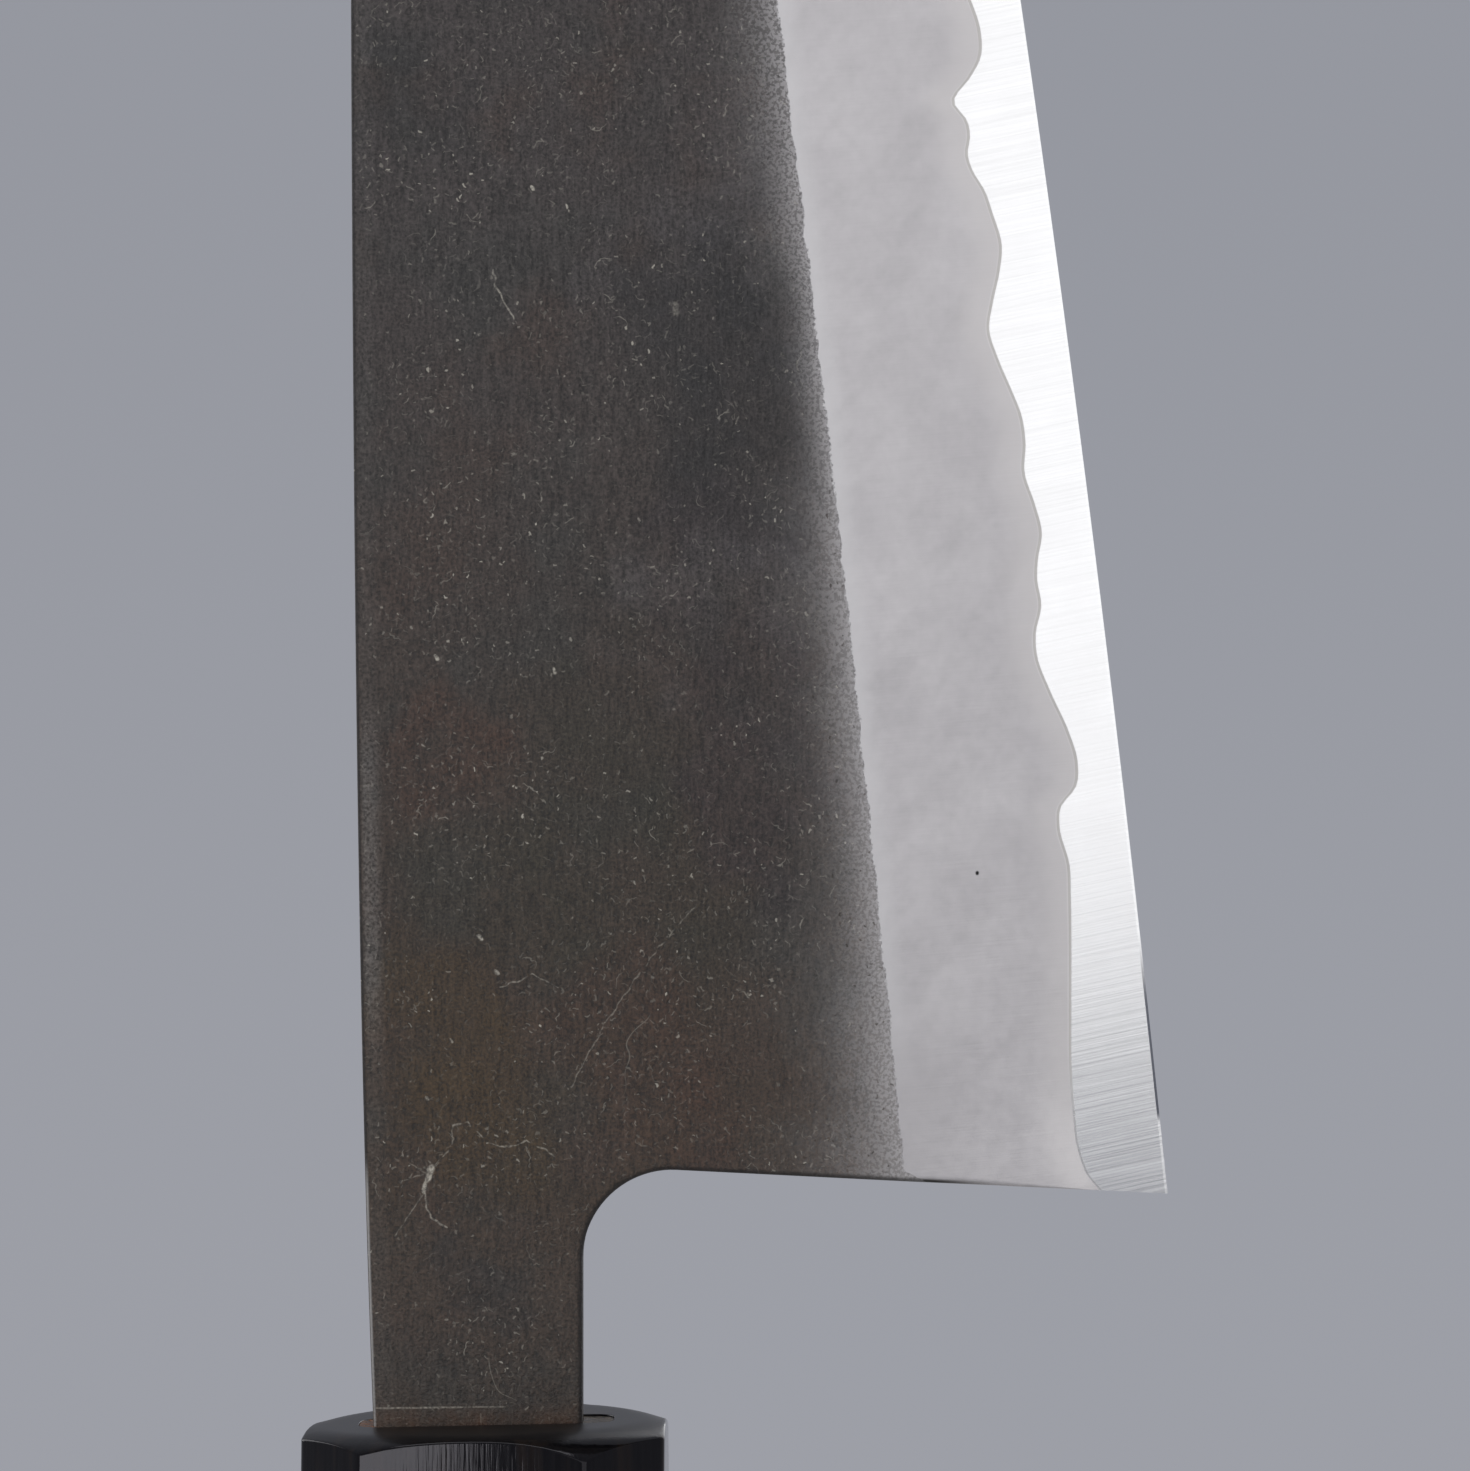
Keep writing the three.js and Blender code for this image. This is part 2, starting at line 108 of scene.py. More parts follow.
THINNING_X = (SPINE_THICKNESS - SHINOGI_THICKNESS) / 2 / (HEEL_HEIGHT - BEVEL_WIDTH)
THINNING_TIP = THINNING_X * (spine_x(TIP_Z) - spine_x(HEEL_Z))
THINNING_Z = ((SPINE_THICKNESS - TIP_THICKNESS) / 2 - THINNING_TIP) / BLADE_LENGTH


def flat_half(x, z):
    return SPINE_THICKNESS / 2 - THINNING_X * (x - spine_x(HEEL_Z)) - THINNING_Z * (z - HEEL_Z)


NECK_HALF = flat_half(-SPINE_SETBACK, FERRULE_FRONT)
TANG_THINNING = (NECK_HALF - TANG_END_THICKNESS / 2) / (FERRULE_FRONT - TANG_END_Z)


def half_thickness(x, z):
    inside = np.maximum(0, FERRULE_FRONT - z)
    return flat_half(x, z + inside) - TANG_THINNING * inside


def core_half(z):
    return CORE_THICKNESS / SPINE_THICKNESS * half_thickness(spine_x(z), z)


def bevel_height(x, z):
    return half_thickness(ridge_x(z), z) * (edge_x(z) - x) / bevel_width(z)


print("heel corner at X", round(float(HEEL_X), 2), "and tip at X", round(float(TIP_X), 2), "mm")

# %% [markdown]
# ## The weld line
# Hard steel is sandwiched between softer iron, and grinding the bevel lays the core bare as a bright strip
# whose border wanders, because the hammer left the layers uneven. The width of that strip is given every
# couple of millimetres where it can be seen, and goes on as a sum of three waves. A curve through the points
# is smoother than straight pieces, so each width is read off a cubic with the slopes of its neighbours.

# %% Width of bare core steel along the edge
WELD_LINE = [
    (0, 3.9), (1, 4.7), (2.6, 5.2), (5, 5.3), (8, 5.2), (11, 4.9), (15.5, 4.4), (18.5, 4.1), (20.5, 3.95),
    (23, 4.3), (24.2, 4.05), (25.3, 3.05), (26.9, 2.7), (28.9, 3.05), (31.4, 3.9), (33.6, 4.45),
    (35, 4.35), (36.7, 3.8), (38.4, 3.85), (39.6, 3.65), (41.2, 3.2), (43, 3.4), (45, 3.8), (46.9, 3.5),
    (48.7, 3.55), (50, 3.9), (52.2, 4.55), (53.9, 4.85), (55.6, 4.4), (57.6, 3.7), (59.2, 3.35),
    (61.2, 3.65), (62.6, 3.95), (63.9, 4.55), (64.9, 4.7), (66, 4.4), (67, 4.45), (68.1, 5.1),
    (69.7, 3.85), (70.8, 3.1), (72.6, 2.8), (74.4, 3.1), (76.5, 3.7),
]
WELD_STEP, WELD_MIDDLE = 3.0, 3.9
WELD_WAVES = [(0.6, 13, 2.4), (0.4, 7.7, 0.9), (0.25, 29, 4.1)]


def weld_wave(along):
    return WELD_MIDDLE + sum(
        height * np.sin(math.tau * along / length + shift) for height, length, shift in WELD_WAVES
    )


def smooth_through(points, at):
    """Reads a curve through points of (place, value) at other places."""
    place, value = np.array(points, float).T
    slope = np.gradient(value, place)
    index = np.clip(np.searchsorted(place, at) - 1, 0, len(place) - 2)
    gap = place[index + 1] - place[index]
    t = np.clip((at - place[index]) / gap, 0, 1)
    ahead, behind = t * t * (3 - 2 * t), (1 - t) ** 2 * (1 + 2 * t)
    bend = gap * t * (1 - t) * ((1 - t) * slope[index] - t * slope[index + 1])
    return behind * value[index] + ahead * value[index + 1] + bend


unseen = [*np.arange(WELD_LINE[-1][0] + WELD_STEP, BLADE_LENGTH, WELD_STEP), BLADE_LENGTH]
right_points = WELD_LINE + [(along, weld_wave(along) * bevel_taper(HEEL_Z + along)) for along in unseen]


def right_weld(z):
    along = np.clip(z - HEEL_Z, 0, BLADE_LENGTH)
    return np.minimum(smooth_through(right_points, along), CORE_LARGEST_SHARE * bevel_width(z))


def left_weld(z):
    along = np.clip(z - HEEL_Z, 0, BLADE_LENGTH)
    width = weld_wave(BLADE_LENGTH - along) * bevel_taper(z)
    return np.minimum(width, CORE_LARGEST_SHARE * bevel_width(z))


bare_widths = right_weld(np.arange(HEEL_Z, TIP_Z))
print("bare core, right:", round(float(bare_widths.min()), 2), "to", round(float(bare_widths.max()), 2), "mm")

# %% [markdown]
# ## A grid over the blade's side view
# All three layers share one side view, so one grid of rows and columns serves them all. Columns run from
# the spine to the ridge and on over the bevel. Rows run up the tang and the neck, fan round the choil, lie
# along the heel and then level out. Building the grid by hand, and not from a boolean cut, puts a column
# exactly on the ridge and on the weld line, where the finish changes.

# %% Rows of points from the tang to the tip
CHOIL_X = BELLY_X + CHOIL_RADIUS
HEEL_START_X = CHOIL_X + CHOIL_RADIUS * math.sin(HEEL_LEAN)
HEEL_START_Z = HEEL_Z + (HEEL_X - HEEL_START_X) * math.tan(HEEL_LEAN)
CHOIL_Z = HEEL_START_Z - CHOIL_RADIUS * math.cos(HEEL_LEAN)
FAN_TOP, SLANT_LENGTH = 166.0, 40.0
NECK_COLUMNS, NECK_ROWS, SHOULDER_STEP, ARC_STEPS = 9, 12, 0.5, 22
FINE_START, FINE_END, FINE_STEP = 0.8, 86.0, 0.4
COARSE_START, COARSE_STEP = 87.0, 1.0
SETTLE_ROUNDS = 6
TURN_SHARE = (HEEL_START_X - spine_x(HEEL_START_Z)) / (ridge_x(HEEL_START_Z) - spine_x(HEEL_START_Z))


def between(start, end, share):
    return tuple(a + (b - a) * share for a, b in zip(start, end))


def neck_rows():
    ends = [
        ((-TANG_END_WIDTH / 2, TANG_END_Z), (TANG_END_WIDTH / 2, TANG_END_Z)),
        ((-TANG_WIDTH / 2, SHOULDER_Z), (TANG_WIDTH / 2, SHOULDER_Z)),
    ]
    for z in np.linspace(SHOULDER_Z + SHOULDER_STEP, CHOIL_Z, NECK_ROWS):
        ends.append(((spine_x(z), z), (BELLY_X, z)))
    for step in range(1, ARC_STEPS):
        share = step / ARC_STEPS
        turn = math.pi - share * (math.pi / 2 + HEEL_LEAN)
        z = CHOIL_Z + share * (FAN_TOP - CHOIL_Z)
        right = (CHOIL_X + CHOIL_RADIUS * math.cos(turn), CHOIL_Z + CHOIL_RADIUS * math.sin(turn))
        ends.append(((spine_x(z), z), right))
    return [[between(*end, k / NECK_COLUMNS) for k in range(NECK_COLUMNS + 1)] for end in ends]


def blade_row(base, columns, count):
    slant = max(0, 1 - (base - HEEL_START_Z) / SLANT_LENGTH)
    turn = (spine_x(base) + TURN_SHARE * (ridge_x(base) - spine_x(base)), base)
    top = base + slant * (FAN_TOP - HEEL_START_Z)
    row = [between((spine_x(top), top), turn, k / NECK_COLUMNS) for k in range(NECK_COLUMNS + 1)]
    z = np.full(count, base)
    for _ in range(SETTLE_ROUNDS):
        x = columns(z)
        z = base - slant * math.tan(HEEL_LEAN) * (x - turn[0])
    return np.vstack([row, np.column_stack([x, z])])


def side_rows(columns, count):
    """All rows of (x, z), and which of them is the first that reaches past the choil."""
    rows = [np.array(row) for row in neck_rows()]
    first = len(rows)
    fine = np.arange(HEEL_START_Z + FINE_START, HEEL_START_Z + FINE_END, FINE_STEP)
    coarse = np.arange(HEEL_START_Z + COARSE_START, TIP_Z - FINE_STEP, COARSE_STEP)
    rows += [blade_row(base, columns, count) for base in [HEEL_START_Z, *fine, *coarse, TIP_Z]]
    return rows, first


print("heel starts at", round(float(HEEL_START_X), 2), round(float(HEEL_START_Z), 2))

# %% [markdown]
# ## Turning the grid into a solid layer
# A layer has an outer face, an inner face and a rim. The rim's outer edge is eased, because a hand-forged
# blade never has a razor-sharp spine, and that thin curved line is what catches the light. The easing runs
# in small steps along the outline's own normal. Where the layer thins to nothing at the weld line, the two
# faces share their points.

# %% A closed mesh from points and faces
MERGE_WITHIN, SLIVER_WITHIN = 5e-7, 1e-7


def smooth_but_sharp(bm, sharp_angle):
    """Shades a mesh smooth, apart from the edges that bend more than an angle in degrees."""
    for face in bm.faces:
        face.smooth = True
    for edge in bm.edges:
        if edge.is_manifold and edge.calc_face_angle() > math.radians(sharp_angle):
            edge.smooth = False


def add_object(name, mesh):
    piece = bpy.data.objects.new(name, mesh)
    bpy.context.scene.collection.objects.link(piece)
    return piece


def closed_mesh(name, points, faces, creases=(), sharp_angle=35):
    """Makes an object from points in millimetres, merges doubles and marks its sharp edges."""
    mesh = bpy.data.meshes.new(name)
    mesh.from_pydata([tuple(c * MM for c in point) for point in points], [], faces)
    bm = bmesh.new()
    bm.from_mesh(mesh)
    bm.verts.ensure_lookup_table()
    for a, b in creases:
        edge = bm.edges.get((bm.verts[a], bm.verts[b]))
        if edge:
            edge.smooth = False
    bmesh.ops.remove_doubles(bm, verts=bm.verts, dist=MERGE_WITHIN)
    bmesh.ops.dissolve_degenerate(bm, edges=bm.edges, dist=SLIVER_WITHIN)
    bmesh.ops.recalc_face_normals(bm, faces=bm.faces)
    smooth_but_sharp(bm, sharp_angle)
    open_edges = sum(not edge.is_manifold for edge in bm.edges)
    bm.to_mesh(mesh)
    bm.free()
    print(name, len(mesh.polygons), "faces,", open_edges, "open edges")
    return add_object(name, mesh)


# %% The rim of a layer and its easing
EASE_STEPS, EASE_SETBACK = 4, 1.5
EASE_REACH_SHARE, EASE_DEPTH_SHARE, LONE_REACH = 0.35, 0.45, 0.5
TINY = 1e-9


def rim_path(rows, first):
    """Grid places along the rim, from one end of the edge by heel, neck, tang and spine to the other."""
    wide, last = len(rows[-1]) - 1, len(rows) - 1
    return (
        [(first, k) for k in range(wide, NECK_COLUMNS, -1)]
        + [(r, NECK_COLUMNS) for r in range(first, -1, -1)]
        + [(0, k) for k in range(NECK_COLUMNS - 1, -1, -1)]
        + [(r, 0) for r in range(1, last + 1)]
        + [(last, k) for k in range(1, wide + 1)]
    )


def unit(vectors):
    return vectors / np.maximum(np.linalg.norm(vectors, axis=1, keepdims=True), TINY)


def inward_normals(outline):
    """Unit normals that point into the blade, along an outline walked with the blade on its right."""
    step = unit(np.diff(outline, axis=0))
    normal = np.stack([step[:, 1], -step[:, 0]], axis=1)
    return unit(np.concatenate([normal[:1], normal[:-1] + normal[1:], normal[-1:]]))


def room_to_ease(rows, on_rim, place, depth, ease):
    """How far the rim can be eased at a place without reaching the next points of the grid."""
    r, k = place
    near = [(r - 1, k), (r + 1, k), (r, k - 1), (r, k + 1)]
    near = [(a, b) for a, b in near if 0 <= a < len(rows) and 0 <= b < len(rows[a])]
    near = [other for other in near if other not in on_rim]
    reach = min((math.dist(rows[a][b], rows[r][k]) for a, b in near), default=LONE_REACH)
    return min(ease, EASE_REACH_SHARE * reach, EASE_DEPTH_SHARE * abs(depth))


# %% One layer from an outer and an inner grid
def layer(name, rows, first, outer_y, inner_rows, inner_y, ease, crease_columns):
    index, points, faces, creases = {}, [], [], []

    def add(x, y, z):
        points.append([float(x), float(y), float(z)])
        return len(points) - 1

    for face, grid, height in (("outer", rows, outer_y), ("inner", inner_rows, inner_y)):
        for r, row in enumerate(grid):
            for k, (x, y, z) in enumerate(zip(row[:, 0], height(row[:, 0], row[:, 1]), row[:, 1])):
                shared = face == "inner" and r >= first and k == len(row) - 1
                index[face, r, k] = index["outer", r, k] if shared else add(x, y, z)
        for r in range(len(grid) - 1):
            for k in range(min(len(grid[r]), len(grid[r + 1])) - 1):
                corners = [(r, k), (r, k + 1), (r + 1, k + 1), (r + 1, k)]
                quad = [index[face, *corner] for corner in corners]
                faces.append(quad if face == "outer" else quad[::-1])
        for k in crease_columns:
            for r in range(first, len(grid) - 1):
                creases.append((index[face, r, k], index[face, r + 1, k]))

    path = rim_path(rows, first)
    on_rim = set(path)
    outline = np.array([rows[r][k] for r, k in path], float)
    rings = [[index["outer", *place] for place in path]]
    eased = [[] for _ in range(EASE_STEPS + 1)] if ease else []
    for place, (x, z), (to_x, to_z) in zip(path, outline, inward_normals(outline)):
        here = points[index["outer", *place]]
        depth = points[index["inner", *place]][1] - here[1]
        room = room_to_ease(rows, on_rim, place, depth, ease)
        for step, eased_ring in enumerate(eased):
            turn = math.pi / 2 * step / EASE_STEPS
            back = room * (1 - math.sin(turn))
            sink = math.copysign(room * (1 - math.cos(turn)), depth)
            eased_ring.append(add(x + to_x * back, here[1] + sink, z + to_z * back))
        here[0], here[2] = x + to_x * EASE_SETBACK * room, z + to_z * EASE_SETBACK * room
    rings += [*eased, [index["inner", *place] for place in path]]
    for upper, lower in zip(rings, rings[1:]):
        for i in range(len(path) - 1):
            corners = dict.fromkeys([upper[i], upper[i + 1], lower[i + 1], lower[i]])
            if len(corners) > 2:
                faces.append(list(corners))
    return closed_mesh(name, points, faces, creases)


# %% [markdown]
# ## The two claddings
# Each cladding is the soft iron of one side: a flat that keeps its forge scale, a ridge, and a ground bevel
# that thins to a feather where the core comes out. Distances to the ridge, the weld line, the spine and the
# rim are kept on the points as attributes, so that the finishes can follow the shape.

# %% Claddings
FLAT_COLUMNS, BEVEL_COLUMNS = 8, 10
FLAT_SHARES = np.linspace(TURN_SHARE, 1, FLAT_COLUMNS + 1)[1:]
BEVEL_SHARES = np.linspace(0, 1, BEVEL_COLUMNS + 1)[1:]
RIM_EASE, ON_RIDGE = 0.35, 1e-6


def feather_width(z, width):
    slope = half_thickness(ridge_x(z), z) / bevel_width(z)
    inner = (slope * width - core_half(z)) / (bevel_width(z) - width)
    return width + WELD_GAP / (slope + inner)


def flat_columns(z):
    return spine_x(z) + FLAT_SHARES * (ridge_x(z) - spine_x(z))


def cladding(name, side, weld):
    def columns(z):
        flat, bevel = z[:FLAT_COLUMNS], z[FLAT_COLUMNS:]
        reach = bevel_width(bevel) - feather_width(bevel, weld(bevel))
        return np.concatenate([flat_columns(flat), ridge_x(bevel) + BEVEL_SHARES * reach])

    def outer(x, z):
        return side * np.where(x <= ridge_x(z) + ON_RIDGE, half_thickness(x, z), bevel_height(x, z))

    def inner(x, z):
        base = core_half(z) + WELD_GAP
        feather = edge_x(z) - feather_width(z, weld(z))
        share = np.clip((x - ridge_x(z)) / (feather - ridge_x(z)), 0, 1)
        return side * (base + share * (bevel_height(feather, z) - base))

    rows, first = side_rows(columns, FLAT_COLUMNS + BEVEL_COLUMNS)
    ridge = NECK_COLUMNS + FLAT_COLUMNS
    return layer(name, rows, first, outer, rows, inner, RIM_EASE, [ridge])


def keep_distances(piece):
    """Stores distances in millimetres on the points, for the materials to read."""
    points = np.empty(len(piece.data.vertices) * 3)
    piece.data.vertices.foreach_get("co", points)
    x, y, z = points.reshape(-1, 3).T / MM
    bare = np.where(y > 0, left_weld(z), right_weld(z))
    from_arc = np.hypot(x - CHOIL_X, z - CHOIL_Z) - CHOIL_RADIUS
    from_heel = (z - HEEL_START_Z + (x - HEEL_START_X) * math.tan(HEEL_LEAN)) * math.cos(HEEL_LEAN)
    from_rim = np.where(z < CHOIL_Z, BELLY_X - x, np.where(x < HEEL_START_X, from_arc, from_heel))
    distances = {
        "ridge_mm": x - ridge_x(z),
        "weld_mm": edge_x(z) - x - bare,
        "edge_mm": edge_x(z) - x,
        "spine_mm": np.maximum(x - spine_x(z), half_thickness(x, z) - np.abs(y)),
        "rim_mm": from_rim,
    }
    for label, values in distances.items():
        kept = piece.data.attributes.new(label, "FLOAT", "POINT")
        kept.data.foreach_set("value", np.asarray(values, np.float32))


right_cladding = cladding("right_iron", -1, right_weld)
left_cladding = cladding("left_iron", 1, left_weld)
keep_distances(right_cladding)
keep_distances(left_cladding)

# %% [markdown]
# ## The core
# The hard steel sheet fills the space between the claddings and comes out along the edge. Its last sixth
# of a millimetre is honed steeper than the bevel. That tiny second bevel catches its own light, so it gets
# its own column of points.

# %% Core
MICRO_WIDTH, MICRO_HALF, MICRO_LARGEST_SHARE = 0.16, 0.032, 0.3
STRIP_SHARES = np.linspace(0, 1, 7)
CORE_COLUMNS = FLAT_COLUMNS + 2 + len(STRIP_SHARES)


def micro_width(z, weld):
    return np.minimum(MICRO_WIDTH, MICRO_LARGEST_SHARE * weld(z))


def core_columns(weld):
    def columns(z):
        flat, middle, strip, edge = np.split(z, [FLAT_COLUMNS, FLAT_COLUMNS + 1, CORE_COLUMNS - 1])
        hidden = ridge_x(middle) + (bevel_width(middle) - weld(middle)) / 2
        shown = edge_x(strip) - weld(strip) + STRIP_SHARES * (weld(strip) - micro_width(strip, weld))
        return np.concatenate([flat_columns(flat), hidden, shown, edge_x(edge)])

    return columns


def core_height(weld):
    def height(x, z):
        width, micro, none = weld(z), micro_width(z, weld), np.zeros_like(z)
        honed, bared = MICRO_HALF * micro / MICRO_WIDTH, bevel_height(edge_x(z) - width, z)
        steps = np.array([none, micro, width, bevel_width(z)])
        levels = np.array([none, honed, bared, core_half(z)])
        return np.array([np.interp(*each) for each in zip(edge_x(z) - x, steps.T, levels.T)])

    return height


right_rows, core_first = side_rows(core_columns(right_weld), CORE_COLUMNS)
left_rows, _ = side_rows(core_columns(left_weld), CORE_COLUMNS)
right_height, left_height = core_height(right_weld), core_height(left_weld)
weld_column = NECK_COLUMNS + FLAT_COLUMNS + 2
core = layer(
    "hard_core",
    right_rows,
    core_first,
    lambda x, z: -right_height(x, z),
    left_rows,
    left_height,
    0,
    [weld_column, weld_column + len(STRIP_SHARES) - 1],
)
keep_distances(core)

# %% [markdown]
# ## The horn ferrule
# The ferrule is an eight-sided sleeve whose front is rounded over like a low dome, with a slot for the neck.
# A boolean would leave ragged faces along the rounded rim, so it is laid up as closed rings instead: up the
# eight walls, over the dome, down the slot, out to the dowel's bore and back. The last ring joins the first.
# The near corner on the belly side, and the dome, are uneven, because the horn was shaped by hand.

# %% Eight-sided sections
FRONT_HALF_X, FRONT_HALF_Y = 11.0, 9.474
FLARE_X, FLARE_Y = 3.0, 2.6
FACET_CUT_X, FACET_CUT_Y = 4.05, 4.1
CORNER_EASE, CORNER_STEPS, CORNER_MARGIN = 0.32, 4, 0.15
UNEVEN_X, UNEVEN_Y = 0.44, 0.6
BROAD_SIDES, BROAD_PIECES, NARROW_PIECES = (1, 5), 12, 6
ROLL = math.radians(-3.2)
ROLLED = np.array([[math.cos(ROLL), math.sin(ROLL)], [-math.sin(ROLL), math.cos(ROLL)]])


def along_side(start, end, pieces):
    """Shares along a straight side, with points close to both ends to keep it flat under smooth shading."""
    near = CORNER_MARGIN / math.dist(start, end)
    return [0, near, *np.linspace(near, 1 - near, pieces + 1)[1:-1], 1 - near]


def facet_outline(z):
    """Points round the handle at a height, with rounded corners, starting on the +X side."""
    share = 1 - z / FERRULE_FRONT
    half_x = FRONT_HALF_X + FLARE_X / 2 * share
    half_y = FRONT_HALF_Y + FLARE_Y / 2 * share
    inner_x, inner_y = half_x - FACET_CUT_X, half_y - FACET_CUT_Y
    forward = min(max((z - FERRULE_BACK) / (FERRULE_FRONT - FERRULE_BACK), 0), 1)
    corners = [
        (half_x, inner_y), (inner_x, half_y), (-inner_x, half_y), (-half_x, inner_y),
        (-half_x, -inner_y), (-inner_x, -half_y), (inner_x, -half_y),
        (half_x + UNEVEN_X * forward, UNEVEN_Y * forward - inner_y),
    ]
    points = []
    for place, corner in enumerate(corners):
        before, after = corners[place - 1], corners[(place + 1) % len(corners)]
        start = between(corner, before, CORNER_EASE / math.dist(corner, before))
        end = between(corner, after, CORNER_EASE / math.dist(corner, after))
        for step in range(CORNER_STEPS):
            t = step / CORNER_STEPS
            points.append(between(between(start, corner, t), between(corner, end, t), t))
        stop = between(after, corner, CORNER_EASE / math.dist(corner, after))
        pieces = BROAD_PIECES if place in BROAD_SIDES else NARROW_PIECES
        points += [between(end, stop, share) for share in along_side(end, stop, pieces)]
    return np.array(points) @ ROLLED


count = len(facet_outline(0))
print(count, "points round the handle")

# %% Rounded front and slot
RIM_RADIUS, RIM_INSET, FRONT_LEAN = 4.2, 1.4, 0.02
NEAR_SPINE, NEAR_BELLY, NEAR_BELLY_GROWTH = 1.3, 0.946, 0.028
FAR_SPINE, FAR_BELLY, FAR_DEPTH, FAR_BLEND = 1.15, 1.14, 1.25, 4.0
SLOT_HALF_X, SLOT_HALF_Y, SLOT_CORNER, SLOT_STEPS = 7.95, 2.475, 1.5, 8


def dome_z(x, y):
    """Height of the rounded front, which was shaped by hand and falls away differently on each side."""
    far = np.clip((y + FAR_BLEND) / (2 * FAR_BLEND), 0, 1)
    near_stretch = np.where(x > 0, NEAR_BELLY + NEAR_BELLY_GROWTH * x, NEAR_SPINE)
    far_stretch = np.where(x > 0, FAR_BELLY, FAR_SPINE)
    wide = near_stretch + far * (far_stretch - near_stretch)
    deep = 1 + far * (FAR_DEPTH - 1)
    out = np.clip(np.hypot(x / wide, y / deep) - (FRONT_HALF_Y - RIM_INSET), 0, RIM_RADIUS)
    return FERRULE_FRONT + FRONT_LEAN * x - RIM_RADIUS + np.sqrt(RIM_RADIUS**2 - out**2)


def slot_outline(low_x, high_x, half_y, corner):
    """A slot with round corners, walked from its +X side."""
    points = []
    for quarter in range(4):
        end_x = (high_x - corner, low_x + corner, low_x + corner, high_x - corner)[quarter]
        end_y = (half_y - corner) * (1, 1, -1, -1)[quarter]
        for step in range(SLOT_STEPS + 1):
            turn = math.pi / 2 * (quarter + step / SLOT_STEPS)
            points.append((end_x + corner * math.cos(turn), end_y + corner * math.sin(turn)))
    return np.array(points)


def matched(outline, guide):
    """Points of an outline at the same share of the way round as a guide's points."""

    def shares(loop):
        steps = np.linalg.norm(np.diff(np.vstack([loop, loop[:1]]), axis=0), axis=1)
        return np.concatenate([[0], np.cumsum(steps)]) / steps.sum()

    own, wanted = shares(outline), shares(guide)[:-1]
    closed = np.vstack([outline, outline[:1]])
    return np.stack([np.interp(wanted, own, closed[:, axis]) for axis in range(2)], axis=1)


top_z = np.full(count, FERRULE_FRONT)
for _ in range(SETTLE_ROUNDS):
    crest = np.array([facet_outline(z)[j] for j, z in enumerate(top_z)])
    top_z = dome_z(crest[:, 0], crest[:, 1])
print("ferrule crest between", round(float(top_z.min()), 2), "and", round(float(top_z.max()), 2), "mm")

# %% Ferrule
FRONT_WALL, BORE_RADIUS, SLOT_LIP = 6.0, 6.574, 1.0
WALL_SHARES = (0, 0.02, 0.25, 0.5, 0.75, 1)
DOME_SHARES = (0.06, 0.12, 0.2, 0.3, 0.4, 0.5, 0.62, 0.75, 0.9, 0.97, 1)
HORN_SHARP = 50


def ring_faces(loops, points):
    """Quads between each loop of points and the next, and between the last and the first."""
    return [
        [i * points + j, i * points + (j + 1) % points, k * points + (j + 1) % points, k * points + j]
        for i, k in zip(range(loops), [*range(1, loops), 0])
        for j in range(points)
    ]


def ring(flat, z):
    return np.column_stack([flat, np.broadcast_to(z, len(flat))])


slot = matched(slot_outline(-SLOT_HALF_X, SLOT_HALF_X, SLOT_HALF_Y, SLOT_CORNER), crest)
turn = np.arctan2(crest[:, 1], crest[:, 0])
bore = BORE_RADIUS * np.stack([np.cos(turn), np.sin(turn)], axis=1)
rings = []
for share in WALL_SHARES:
    z = FERRULE_BACK + share * (top_z - FERRULE_BACK)
    rings.append(ring(np.array([facet_outline(z[j])[j] for j in range(count)]), z))
for share in DOME_SHARES:
    flat = crest + share * (slot - crest)
    rings.append(ring(flat, dome_z(flat[:, 0], flat[:, 1])))
rings += [ring(slot, FERRULE_FRONT - SLOT_LIP), ring(slot, FERRULE_FRONT - FRONT_WALL)]
rings += [ring(bore, FERRULE_FRONT - FRONT_WALL), ring(bore, FERRULE_BACK)]
ferrule_faces = ring_faces(len(rings), count)
ferrule = closed_mesh("horn_ferrule", np.concatenate(rings), ferrule_faces, sharp_angle=HORN_SHARP)

# %% Ease the ferrule's rim and the mouth of its slot
RIM_SOFT, SLOT_SOFT, SOFT_STEPS = 0.11, 0.06, 3
CREST_RING = len(WALL_SHARES) - 1
SLOT_RING = CREST_RING + len(DOME_SHARES)
bm = bmesh.new()
bm.from_mesh(ferrule.data)
bm.verts.ensure_lookup_table()


def ring_edges(number):
    places = [number * count + j for j in range(count)]
    return [bm.edges.get((bm.verts[a], bm.verts[b])) for a, b in zip(places, places[1:] + places[:1])]


for loop, width in [(ring_edges(CREST_RING), RIM_SOFT), (ring_edges(SLOT_RING), SLOT_SOFT)]:
    bmesh.ops.bevel(bm, geom=loop, offset=width * MM, segments=SOFT_STEPS, profile=0.5, affect="EDGES")
for edge in bm.edges:
    edge.smooth = True
smooth_but_sharp(bm, HORN_SHARP)
bm.to_mesh(ferrule.data)
bm.free()
print("ferrule after easing:", len(ferrule.data.polygons), "faces")

# %% [markdown]
# ## The resin seal
# Resin was poured round the neck to close the ferrule's slot. It stands almost level with the front at the
# spine end, where it can be seen, and has run lower at the belly end. Its surface is hollow, as a liquid's
# is between two walls. Three loops with the same number of points make it: the slot, the neck, and the
# middle between them.

